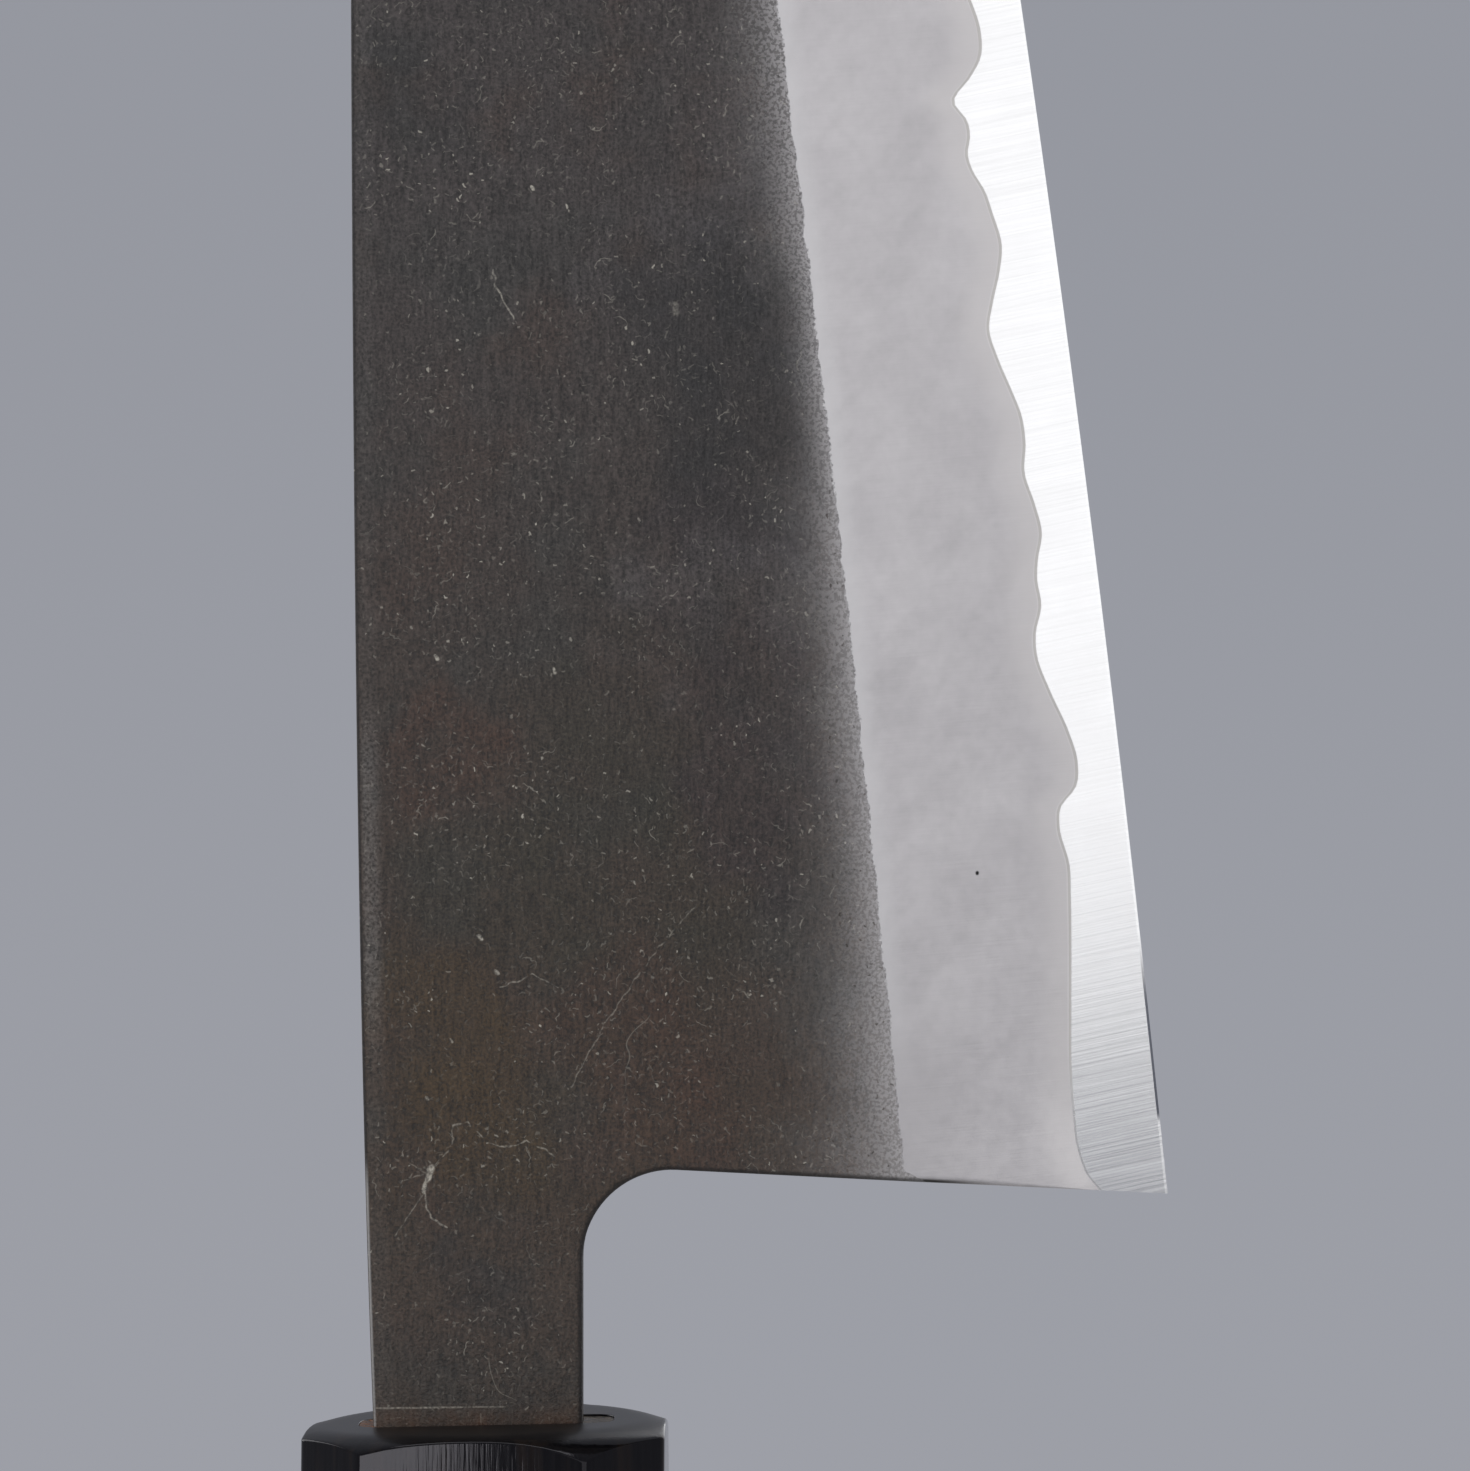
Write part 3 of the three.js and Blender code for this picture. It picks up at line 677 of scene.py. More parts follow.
# %% Seal
SEAL_GAP, SEAL_HOLLOW = 0.04, 0.08
SEAL_HIGH, SEAL_LOW = 0.02, 0.12
seal_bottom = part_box("tang_seal")[0][2] / MM
seal_half_x, seal_half_y = SLOT_HALF_X - SEAL_GAP, SLOT_HALF_Y - SEAL_GAP
slot_loop = slot_outline(-seal_half_x, seal_half_x, seal_half_y, SLOT_CORNER)
neck_loop = slot_outline(-SPINE_SETBACK - SEAL_GAP, BELLY_X + SEAL_GAP, NECK_HALF + SEAL_GAP, RIM_EASE)


def seal_top(loop, hollow=0.0):
    along = loop[:, 0]
    depth = SEAL_HIGH + (SEAL_LOW - SEAL_HIGH) * (along + SLOT_HALF_X) / (2 * SLOT_HALF_X)
    return ring(loop, FERRULE_FRONT + FRONT_LEAN * along - depth - hollow)


seal_rings = [
    ring(slot_loop, seal_bottom), seal_top(slot_loop), seal_top((slot_loop + neck_loop) / 2, SEAL_HOLLOW),
    seal_top(neck_loop), ring(neck_loop, seal_bottom),
]
seal = closed_mesh("resin_seal", np.concatenate(seal_rings), ring_faces(len(seal_rings), len(slot_loop)))

# %% [markdown]
# ## The wooden handle
# The handle follows a rule from end to end: a rectangle with its corners cut off, swelling evenly towards
# the butt. That makes it a good first use of Geometry Nodes. A rectangle is filleted twice, once for the
# facets and once for their soft corners, swept along a line, and then pushed outwards by a rule of height.
# The dowel's bore is cut at the end. All sizes are inputs of the tree, so another handle is a few numbers.
# Nodes are wired by small functions that find their tree from the sockets that they are given.

# %% Short names for nodes
def is_socket(value):
    return isinstance(value, bpy.types.NodeSocket)


def tree_of(*values):
    """The tree that the first socket among some values belongs to."""
    return next(value.id_data for value in values if is_socket(value))


def feed(inputs, values):
    """Links each value to its input if it is a socket, and sets it otherwise."""
    for place, value in values.items():
        if is_socket(value):
            value.id_data.links.new(value, inputs[place])
        else:
            inputs[place].default_value = value


def put(tree, kind, inputs=None, **settings):
    """Adds a node, sets its properties, and links or sets its inputs."""
    made = tree.nodes.new(kind)
    for label, value in settings.items():
        setattr(made, label, value)
    feed(made.inputs, inputs or {})
    return made


def step_of(operation):
    """A function that adds one step of arithmetic and returns its output."""

    def add(a, b=0.0, c=0.0):
        return put(tree_of(a, b, c), "ShaderNodeMath", {0: a, 1: b, 2: c}, operation=operation).outputs[0]

    return add


plus, minus, times, over = (step_of(kind) for kind in ("ADD", "SUBTRACT", "MULTIPLY", "DIVIDE"))
power, larger, linear = (step_of(kind) for kind in ("POWER", "MAXIMUM", "MULTIPLY_ADD"))
absolute, sign_of, root_of = (step_of(kind) for kind in ("ABSOLUTE", "SIGN", "SQRT"))


def split(vector):
    return put(tree_of(vector), "ShaderNodeSeparateXYZ", {0: vector}).outputs


# %% Tree for an eight-sided handle
HANDLE_LENGTH, BUTT_EASE, BORE_START = 112.0, 0.8, 40.1
HANDLE_SIZES = {
    "Length": HANDLE_LENGTH,
    "Reference length": FERRULE_FRONT,
    "Half width": FRONT_HALF_X,
    "Half thickness": FRONT_HALF_Y,
    "Flare of width": FLARE_X,
    "Flare of thickness": FLARE_Y,
    "Facet cut": FACET_CUT_X,
    "Corner radius": 0.75,
    "Butt ease": BUTT_EASE,
    "Bore radius": BORE_RADIUS,
    "Bore start": BORE_START,
}
STATIONS, BORE_SIDES, DRILL_REACH = 60, 64, 1.2


def add_sockets(tree, side, kinds):
    for label, kind in kinds.items():
        tree.interface.new_socket(label, in_out=side, socket_type="NodeSocket" + kind)


handle_tree = bpy.data.node_groups.new("eight_sided_handle", "GeometryNodeTree")
add_sockets(handle_tree, "INPUT", {"Geometry": "Geometry", **dict.fromkeys(HANDLE_SIZES, "Float")})
add_sockets(handle_tree, "INPUT", {"Roll": "Float", "Wood": "Material"})
add_sockets(handle_tree, "OUTPUT", {"Geometry": "Geometry"})
sizes = handle_tree.nodes.new("NodeGroupInput").outputs
result = handle_tree.nodes.new("NodeGroupOutput").inputs


def grow(kind, inputs=None, **settings):
    """Adds a node to the handle's tree and returns its first output."""
    return put(handle_tree, kind, inputs, **settings).outputs[0]


# %% Section, sweep and swell
section = grow("GeometryNodeCurvePrimitiveQuadrilateral", {
    "Width": times(sizes["Half width"], 2.0), "Height": times(sizes["Half thickness"], 2.0),
})
for cut_size, cut_points in (("Facet cut", 1), ("Corner radius", CORNER_STEPS)):
    section = grow("GeometryNodeFilletCurve", {
        "Curve": section, "Radius": sizes[cut_size], "Count": cut_points,
    }, mode="POLY")
line = grow("GeometryNodeCurvePrimitiveLine", {"End": grow("ShaderNodeCombineXYZ", {"Z": sizes["Length"]})})
stations = grow("GeometryNodeResampleCurve", {"Curve": line, "Count": STATIONS})
bar = grow("GeometryNodeCurveToMesh", {"Curve": stations, "Profile Curve": section, "Fill Caps": True})
where = split(grow("GeometryNodeInputPosition"))
step = over(where["Z"], sizes["Length"])
height = times(times(step, step), sizes["Length"])
below = larger(minus(sizes["Butt ease"], height), 0.0)
inset = minus(sizes["Butt ease"], root_of(minus(power(sizes["Butt ease"], 2.0), power(below, 2.0))))
swell = minus(0.5, over(times(height, 0.5), sizes["Reference length"]))


def swollen(axis, flare):
    push = minus(times(sizes[flare], swell), inset)
    return linear(sign_of(where[axis]), push, where[axis])


placed = grow("ShaderNodeCombineXYZ", {
    "X": swollen("X", "Flare of width"), "Y": swollen("Y", "Flare of thickness"), "Z": height,
})
swelled = grow("GeometryNodeSetPosition", {"Geometry": bar, "Position": placed})
turned = grow("GeometryNodeTransform", {
    "Geometry": swelled, "Rotation": grow("ShaderNodeCombineXYZ", {"Z": sizes["Roll"]}),
})

# %% Bore, material and result
bore_length = minus(times(sizes["Length"], DRILL_REACH), sizes["Bore start"])
drill = grow("GeometryNodeMeshCylinder", {
    "Vertices": BORE_SIDES, "Radius": sizes["Bore radius"], "Depth": bore_length,
})
drill_middle = linear(bore_length, 0.5, sizes["Bore start"])
drilled = grow("GeometryNodeTransform", {
    "Geometry": drill, "Translation": grow("ShaderNodeCombineXYZ", {"Z": drill_middle}),
})
cut = grow("GeometryNodeMeshBoolean", {0: turned, 1: drilled}, operation="DIFFERENCE", solver="EXACT")
real = grow("GeometryNodeRealizeInstances", {0: cut})
feed(result, {0: grow("GeometryNodeSetMaterial", {"Geometry": real, "Material": sizes["Wood"]})})
print("handle tree:", len(handle_tree.nodes), "nodes")

# %% [markdown]
# ## Tools for the finishes
# Every finish is made of a few effects: soft mottling, fine lines that run one way, scattered flecks and
# single strokes. Each is a node group that is built once and used with its own values in several materials.
# They read the object's own coordinates, turned into millimetres, so a number in a material is a size on
# the knife.

# %% Short names for shader nodes
def share_of(value, low, high, to_low=0.0, to_high=1.0):
    """A smooth step from one value to another."""
    return put(tree_of(value), "ShaderNodeMapRange", {
        "Value": value, "From Min": low, "From Max": high, "To Min": to_low, "To Max": to_high,
    }, interpolation_type="SMOOTHSTEP").outputs[0]


def mix(share, a, b, kind="MIX"):
    """Mixes two colours."""
    inputs = {0: share, 6: a, 7: b}
    return put(tree_of(share, a, b), "ShaderNodeMix", inputs, data_type="RGBA", blend_type=kind).outputs[2]


def blend(share, a, b):
    """Mixes two values."""
    return put(tree_of(share, a, b), "ShaderNodeMix", {0: share, 2: a, 3: b}, data_type="FLOAT").outputs[0]


def shaded(colour, tone):
    """A colour made lighter or darker by one tone."""
    level = put(tree_of(tone), "ShaderNodeCombineColor", {0: tone, 1: tone, 2: tone}).outputs[0]
    return mix(1.0, colour, level, "MULTIPLY")


def grey(value, warm=0.0):
    return (value * (1 + warm), value, value * (1 - warm), 1.0)


def vectors(operation, a, b):
    return put(tree_of(a, b), "ShaderNodeVectorMath", {0: a, 1: b}, operation=operation).outputs


def scaled(vector, factor):
    inputs = {0: vector, "Scale": factor}
    return put(tree_of(vector), "ShaderNodeVectorMath", inputs, operation="SCALE").outputs[0]


def clamped(value):
    return put(tree_of(value), "ShaderNodeClamp", {0: value}).outputs[0]


def stretched(noise, contrast):
    """Noise spread about its middle and kept between zero and one."""
    return clamped(plus(times(minus(noise, 0.5), contrast), 0.5))


def start_group(name, takes, gives):
    group = bpy.data.node_groups.new(name, "ShaderNodeTree")
    add_sockets(group, "INPUT", takes)
    add_sockets(group, "OUTPUT", gives)
    return group, group.nodes.new("NodeGroupInput").outputs, group.nodes.new("NodeGroupOutput").inputs


def use(group, inputs):
    return put(tree_of(*inputs.values()), "ShaderNodeGroup", inputs, node_tree=group).outputs


# %% Mottle: soft clouds of a given size
mottle, takes, gives = start_group(
    "mottle", {"Place": "Vector", "Size": "Float", "Contrast": "Float"}, {"Value": "Float"}
)
clouds = put(mottle, "ShaderNodeTexNoise", {
    "Vector": takes["Place"], "Scale": over(1.0, takes["Size"]), "Detail": 3.0, "Roughness": 0.55,
}).outputs[0]
feed(gives, {"Value": stretched(clouds, takes["Contrast"])})


def mottle_of(place, size, contrast):
    return use(mottle, {"Place": place, "Size": size, "Contrast": contrast})["Value"]


# %% Lines: fine streaks along Z, turned about Y
lines, takes, gives = start_group(
    "lines",
    {"Place": "Vector", "Width": "Float", "Length": "Float", "Turn": "Float", "Contrast": "Float"},
    {"Value": "Float"},
)
spun = put(lines, "ShaderNodeVectorRotate", {
    "Vector": takes["Place"], "Angle": takes["Turn"],
}, rotation_type="Y_AXIS").outputs[0]
across = over(1.0, takes["Width"])
squeeze = put(lines, "ShaderNodeCombineXYZ", {
    "X": across, "Y": across, "Z": over(1.0, takes["Length"]),
}).outputs[0]
drawn = put(lines, "ShaderNodeTexNoise", {
    "Vector": vectors("MULTIPLY", spun, squeeze)[0], "Scale": 1.0, "Detail": 2.0, "Roughness": 0.6,
}).outputs[0]
feed(gives, {"Value": stretched(drawn, takes["Contrast"])})


def lines_of(place, width, length, contrast, turn=0.0):
    return use(lines, {
        "Place": place, "Width": width, "Length": length, "Turn": turn, "Contrast": contrast,
    })["Value"]


# %% Flecks: one short curved stroke in some of the cells of a pattern
flecks, takes, gives = start_group("flecks", {
    "Place": "Vector", "Cell": "Float", "Half length": "Float", "Half width": "Float",
    "Bend": "Float", "Chance": "Float",
}, {"Mask": "Float"})
cells = put(flecks, "ShaderNodeTexVoronoi", {
    "Vector": takes["Place"], "Scale": over(1.0, takes["Cell"]), "Randomness": 1.0,
}, voronoi_dimensions="2D").outputs
away = split(vectors("SUBTRACT", takes["Place"], cells["Position"])[0])
luck = put(flecks, "ShaderNodeSeparateColor", {0: cells["Color"]}).outputs
aim = times(luck[0], math.tau)
cosine, sine = step_of("COSINE")(aim), step_of("SINE")(aim)
stroke_u = plus(times(away[0], cosine), times(away[1], sine))
stroke_v = minus(times(away[1], cosine), times(away[0], sine))
bow = times(minus(luck[1], 0.5), takes["Bend"])
offset = absolute(minus(stroke_v, times(times(stroke_u, stroke_u), bow)))

# %% Flecks: few are bright, most are faint
draw = over(luck[2], takes["Chance"])
reach = times(takes["Half length"], linear(draw, -0.7, 1.0))
thin = share_of(offset, takes["Half width"], times(takes["Half width"], 0.25))
short = share_of(absolute(stroke_u), reach, times(reach, 0.6))
rare = power(step_of("FRACT")(times(luck[0], 9.7)), 3.2)
strength = times(step_of("LESS_THAN")(draw, 1.0), linear(rare, 0.8, 0.2))
feed(gives, {"Mask": times(times(thin, short), strength)})


def flecks_of(place, cell, half_length, half_width, bend, chance):
    return use(flecks, {
        "Place": place, "Cell": cell, "Half length": half_length, "Half width": half_width,
        "Bend": bend, "Chance": chance,
    })["Mask"]


# %% Stroke: one straight mark between two points
stroke, takes, gives = start_group("stroke", {
    "Place": "Vector", "From": "Vector", "To": "Vector", "Half width": "Float",
}, {"Mask": "Float"})
from_start = vectors("SUBTRACT", takes["Place"], takes["From"])[0]
span = vectors("SUBTRACT", takes["To"], takes["From"])[0]
reached, whole = (vectors("DOT_PRODUCT", part, span)["Value"] for part in (from_start, span))
gap = vectors("DISTANCE", from_start, scaled(span, clamped(over(reached, whole))))["Value"]
feed(gives, {"Mask": share_of(gap, takes["Half width"], times(takes["Half width"], 0.3))})


def stroke_of(place, start, end, half_width):
    return use(stroke, {"Place": place, "From": start, "To": end, "Half width": half_width})["Mask"]


print("effects:", [group.name for group in (mottle, lines, flecks, stroke)])

# %% [markdown]
# ## Forge scale
# The flats are left as they came from the fire: a thin dark oxide skin, brown-grey, with a fine grain, faint
# lengthwise streaks, and a scatter of pale specks and curled fibres caught on its rough surface. A regular
# pattern would look printed, so the place that the flecks are read from is itself shaken by noise, and their
# brightness is uneven. The core's rim carries the same skin, so the whole finish is a group of its own.
# Pairs of heights below say where along Z an effect starts and where it is full.

# %% Skin colour: brown low on the blade, greyer towards the tip, with faint tints
UPPER_SKIN, LOWER_SKIN = (0.0435, 0.0372, 0.0358, 1), (0.0385, 0.0262, 0.0182, 1)
NECK_SKIN = (0.0450, 0.0325, 0.0250, 1)
GREEN_TINT, BROWN_TINT = (0.031, 0.032, 0.030, 1), (0.050, 0.033, 0.026, 1)
LOWER_ROWS, NECK_SKIN_ROWS = (225.0, 155.0), (157.0, 150.0)
forge_scale, takes, gives = start_group(
    "forge_scale",
    {"Place": "Vector", "Ridge": "Float", "Spine": "Float", "Rim": "Float"},
    {"Color": "Color", "Roughness": "Float", "Height": "Float"},
)
place = takes["Place"]
where = split(place)
colour = mix(share_of(where["Z"], *LOWER_ROWS), UPPER_SKIN, LOWER_SKIN)
colour = mix(share_of(where["Z"], *NECK_SKIN_ROWS), colour, NECK_SKIN)
colour = mix(share_of(mottle_of(place, 8.0, 2.4), 0.4, 1.0, 0.0, 0.5), colour, GREEN_TINT)
colour = mix(share_of(mottle_of(place, 6.0, 2.4), 0.5, 0.0, 0.0, 0.45), colour, BROWN_TINT)

# %% Side view of the blade, and the same view pushed about by noise
SIDE_SHIFT = 61.0
turned_side = linear(sign_of(where["Y"]), SIDE_SHIFT, where["X"])
side_view = put(forge_scale, "ShaderNodeCombineXYZ", {"X": turned_side, "Y": where["Z"]}).outputs[0]


def shaken(size, reach):
    """The side view, pushed about by noise of a size in millimetres."""
    noise = put(forge_scale, "ShaderNodeTexNoise", {
        "Vector": side_view, "Scale": 1 / size, "Detail": 1.0,
    }).outputs["Color"]
    push = scaled(vectors("SUBTRACT", noise, (0.5, 0.5, 0.5))[0], reach)
    return vectors("ADD", side_view, push)[0]


def mark(at, start, end, half_width):
    """A mask that is one between two points (x, z) of the right-hand side."""
    ends = ((x - SIDE_SHIFT, z, 0) for x, z in (start, end))
    return stroke_of(at, *ends, half_width)


# %% Patches that the fire left: soot, brown rust and pale ash
SOOT, MAUVE, OLIVE = (0.016, 0.017, 0.019, 1), (0.029, 0.023, 0.026, 1), (0.026, 0.025, 0.018, 1)
ASH, RUST, OCHRE = (0.068, 0.061, 0.062, 1), (0.050, 0.025, 0.017, 1), (0.050, 0.031, 0.012, 1)
PATCHES = [
    ((14.6, 212.0), (15.6, 201.5), 9.0, 0.62, SOOT), ((12.5, 197.5), (16.5, 197.0), 5.5, 0.5, MAUVE),
    ((11.0, 192.8), (18.3, 194.0), 5.0, 0.45, ASH), ((11.4, 217.8), (17.1, 219.0), 6.0, 0.45, ASH),
    ((7.7, 183.4), (8.9, 172.8), 9.0, 0.5, OLIVE), ((-2.9, 177.8), (1.4, 175.9), 6.5, 0.45, OLIVE),
    ((-3.6, 187.8), (-2.9, 184.6), 5.0, 0.5, RUST), ((8.9, 165.9), (13.9, 162.8), 7.0, 0.5, RUST),
    ((-2.3, 168.4), (0.2, 161.5), 6.5, 0.5, OCHRE), ((16.4, 187.1), (17.1, 179.6), 7.0, 0.5, MAUVE),
    ((-5.6, 227.1), (-6.1, 222.8), 5.0, 0.4, SOOT), ((0.5, 154.0), (0.6, 142.0), 2.6, 0.45, SOOT),
]
uneven = shaken(6.0, 15.0)
thin_or_thick = share_of(mottle_of(place, 2.6, 2.4), 0.1, 0.9, 0.55, 1.0)
for start, end, half_width, weight, tint in PATCHES:
    share = times(mark(uneven, start, end, half_width), weight)
    colour = mix(times(share, thin_or_thick), colour, tint)

# %% Grain and short streaks over all of it
grain = mottle_of(place, 0.19, 3.4)
streak = lines_of(place, 0.26, 1.3, 2.6)
colour = shaded(colour, linear(streak, 0.6, linear(grain, 0.98, 0.2)))

# %% Specks, curled fibres and hairs, read from a shaken place
rough_place = shaken(0.45, 0.5)
pale = times(flecks_of(rough_place, 0.75, 0.15, 0.08, 0.0, 0.5), 0.75)
for scattered, weight in (
    (flecks_of(rough_place, 0.48, 0.26, 0.06, 2.0, 0.75), 0.26),
    (flecks_of(rough_place, 1.9, 0.7, 0.05, 2.6, 0.6), 0.34),
    (flecks_of(shaken(3.0, 2.6), 9.0, 3.4, 0.05, 0.3, 0.3), 0.22),
):
    pale = larger(pale, times(scattered, weight))
pale = times(pale, share_of(mottle_of(place, 5.0, 3.2), 0.15, 0.85, 0.3, 1.0))

# %% Marks that are there once: a scribed line, threads, a splash with legs and some bright spots
SPECK, RUSTY, RUSTY_ROWS = (0.475, 0.445, 0.375, 1), (0.085, 0.038, 0.018, 1), (143.6, 142.0)
SCRIBED = [
    ([(-6.8, 143.08), (-1.5, 143.14)], 0.08, 0.34),
    ([(-1.5, 143.14), (1.2, 143.17)], 0.07, 0.2),
    ([(-0.3, 142.7), (-0.3, 142.15)], 0.08, 0.34),
]
CURL = [(-2.1, 159.6), (-2.1, 160.6), (-1.2, 160.9), (0.1, 159.6), (1.2, 159.3), (2.6, 159.7), (4.7, 158.5)]
THREADS = [
    ([(-3.35, 158.0), (-3.6, 157.3)], 0.27, 0.62),
    ([(-3.6, 157.4), (-3.9, 156.5)], 0.17, 0.5),
    ([(-3.9, 156.6), (-3.4, 154.95), (-2.45, 154.3)], 0.09, 0.3),
    ([(-3.9, 156.4), (-5.6, 153.8)], 0.08, 0.2),
    ([(-3.4, 157.8), (-2.15, 159.4)], 0.08, 0.22),
    ([(-5.0, 158.5), (-3.7, 157.6), (-5.4, 157.1)], 0.07, 0.16),
    (CURL, 0.08, 0.28),
    ([(1.0, 169.2), (2.9, 170.1), (4.5, 169.2)], 0.075, 0.24),
    ([(13.0, 174.3), (10.2, 171.0), (7.4, 167.0), (5.3, 163.1)], 0.075, 0.2),
    ([(0.4, 213.9), (0.65, 212.8), (1.8, 210.6)], 0.09, 0.38),
    ([(11.7, 211.75), (11.85, 211.25)], 0.3, 0.2),
]
GLINTS = [
    (2.9, 219.07, 0.14, 0.8), (5.0, 217.9, 0.12, 0.55), (-3.1, 189.9, 0.17, 0.6), (-0.45, 172.4, 0.18, 0.65),
    (4.2, 189.0, 0.18, 0.5), (-3.7, 162.4, 0.14, 0.45), (0.6, 170.2, 0.15, 0.5), (-2.2, 166.0, 0.14, 0.4),
]
THREADS += [([(x, z), (x + 0.5 * width, z - width)], width, weight) for x, z, width, weight in GLINTS]
marked = 0.0
for kind, at in ((SCRIBED, side_view), (THREADS, shaken(0.8, 0.42))):
    for points, half_width, weight in kind:
        for start, end in zip(points, points[1:]):
            marked = larger(marked, times(mark(at, start, end, half_width), weight))
pale = larger(pale, times(marked, linear(grain, 1.2, 0.35)))
colour = mix(pale, colour, SPECK)
rusty = times(share_of(where["Z"], *RUSTY_ROWS), mottle_of(place, 1.2, 2.5))
colour = mix(times(rusty, 0.6), colour, RUSTY)
print("marks:", len(SCRIBED) + len(THREADS))

# %% Thin scale above the ridge: smoke with dark pits, widest at the heel
FADE_ROWS, HEEL_FADE, UPPER_FADE = (162.0, 178.0), 2.9, 1.6
WAIST_Z, GRIT_ROWS, IRON_ROWS = 207.5, (185.0, 230.0), (205.0, 160.0)
UPPER_IRON, LOWER_IRON = (0.345, 0.330, 0.328, 1), (0.352, 0.337, 0.334, 1)
from_waist = absolute(minus(where["Z"], WAIST_Z))
fade_length = share_of(where["Z"], *FADE_ROWS, HEEL_FADE, UPPER_FADE)
fade_length = minus(fade_length, share_of(from_waist, 10.0, 4.0, 0.0, 0.55))
drift = linear(mottle_of(place, 5.0, 1.8), 0.5, 0.75)
to_ridge = larger(times(takes["Ridge"], -1.0), 0.0)
faded = power(over(to_ridge, times(fade_length, drift)), 1.2)
smoke = step_of("EXPONENT")(times(faded, -1.0))
grit = share_of(where["Z"], *GRIT_ROWS, 0.36, 0.6)
specks = times(share_of(mottle_of(place, 0.2, 3.0), 0.62, 0.3), grit)
pits = times(flecks_of(shaken(0.3, 0.3), 0.42, 0.16, 0.1, 0.0, 0.6), 0.9)
bare_iron = mix(share_of(where["Z"], *IRON_ROWS), UPPER_IRON, LOWER_IRON)
colour = mix(times(smoke, minus(1.0, larger(specks, pits))), colour, bare_iron)

# %% A worn band by the spine, painted shade on the spine corner and rim, a painted highlight on the neck, and the result
WORN, WORN_Z, SHADE_TO_HIGHLIGHT_ROWS = (0.24, 0.23, 0.22, 1), 176.0, (159.0, 156.5)
PAINTED_EDGE_SHADE, PAINTED_EDGE_HIGHLIGHT = (0.012, 0.011, 0.011, 1), (0.34, 0.33, 0.32, 1)
worn_rows = share_of(absolute(minus(where["Z"], WORN_Z)), 13.0, 5.0, 0.2, 1.0)
beside_spine = times(share_of(takes["Spine"], 0.1, 0.5), share_of(takes["Spine"], 1.7, 0.8))
worn = times(times(beside_spine, worn_rows), linear(grain, 0.34, 0.03))
colour = mix(worn, colour, WORN)
# The spine's eased corner: painted shade above the heel, a painted highlight along the neck.
corner_shade_and_highlight = mix(share_of(where["Z"], *SHADE_TO_HIGHLIGHT_ROWS), PAINTED_EDGE_SHADE, PAINTED_EDGE_HIGHLIGHT)
colour = mix(share_of(takes["Spine"], 0.26, 0.1, 0.0, 0.8), colour, corner_shade_and_highlight)
# Painted shade: a dark line along the rim of the heel, the choil and the neck's belly edge.
colour = mix(share_of(takes["Rim"], 0.4, 0.12, 0.0, 0.75), colour, PAINTED_EDGE_SHADE)
feed(gives, {
    "Color": colour, "Roughness": linear(grain, 0.18, 0.5), "Height": plus(grain, times(streak, 0.7)),
})
print("forge scale:", len(forge_scale.nodes), "nodes")

# %% [markdown]
# ## Forged iron
# One material covers a whole cladding: forge scale above the ridge and a ground bevel below it. The ridge
# and the weld line come from the distances kept on the points, and a little noise makes the border as
# uneven as a stone leaves it; at the heel it flares out along the rim. The ground iron is a soft grey with
# cloudy patches and very fine scratches square to the edge, paler along the ridge and along the weld. At the
# heel it carries a painted highlight by the weld, and painted shade by the ridge and along the rim.

# %% Start of a material, with its place in millimetres
def new_material(name):
    material = bpy.data.materials.new(name)
    material.use_nodes = True
    tree = material.node_tree
    tree.nodes.clear()
    surface = put(tree, "ShaderNodeBsdfPrincipled")
    put(tree, "ShaderNodeOutputMaterial", {"Surface": surface.outputs[0]})
    place = scaled(put(tree, "ShaderNodeTexCoord").outputs["Object"], 1 / MM)
    return material, surface.inputs, place


def kept_distances(place, *names):
    """Distances that were kept on the points, in the tree of a place."""
    tree = tree_of(place)
    return [put(tree, "ShaderNodeAttribute", attribute_name=f"{name}_mm").outputs["Fac"] for name in names]


def side_place(place):
    """The place with its depth taken out, so that lines run straight over a sloping face."""
    where = split(place)
    side = times(sign_of(where["Y"]), SIDE_SHIFT)
    flat = {"X": where["X"], "Y": side, "Z": where["Z"]}
    return put(tree_of(place), "ShaderNodeCombineXYZ", flat).outputs[0]


def bump(height, depth):
    inputs = {"Height": height, "Distance": depth * MM, "Strength": 1.0}
    return put(tree_of(height), "ShaderNodeBump", inputs).outputs[0]


# %% Ground bevel of the claddings
DARK_GROUND, LIGHT_GROUND = (0.478, 0.459, 0.463, 1), (0.530, 0.510, 0.512, 1)
BY_WELD, PALE_LINE, BY_RIDGE = (0.59, 0.565, 0.555, 1), (0.67, 0.65, 0.64, 1), (0.60, 0.588, 0.585, 1)
PAINTED_HEEL_HIGHLIGHT, PAINTED_HEEL_SHADE = (0.68, 0.652, 0.642, 1), (0.40, 0.384, 0.388, 1)
ABOVE_HEEL_ROWS, HEEL_HIGHLIGHT_ROWS, HEEL_SHADE_ROWS = (160.0, 170.0), (165.0, 158.5), (172.0, 162.0)
SCRATCH_TURN, FOLD_TURN = math.radians(95), math.radians(140)
PIT_X, PIT_Z, PIT_LENGTH, PIT_HALF = 30.6, 176.3, 0.05, 0.16
PIT_Y = -float(bevel_height(PIT_X, PIT_Z))
scaled_iron, surface, place = new_material("scaled_iron")
from_ridge, weld, spine, rim = kept_distances(place, "ridge", "weld", "spine", "rim")
height = split(place)["Z"]
above_heel = share_of(height, *ABOVE_HEEL_ROWS)
haze, fine = mottle_of(place, 4.6, 3.0), mottle_of(place, 0.7, 2.2)
sideways = side_place(place)
scratch = lines_of(sideways, 0.12, 3.0, 2.4, SCRATCH_TURN)
fold = lines_of(sideways, 2.4, 8.0, 2.2, FOLD_TURN)
ground = mix(haze, DARK_GROUND, LIGHT_GROUND)
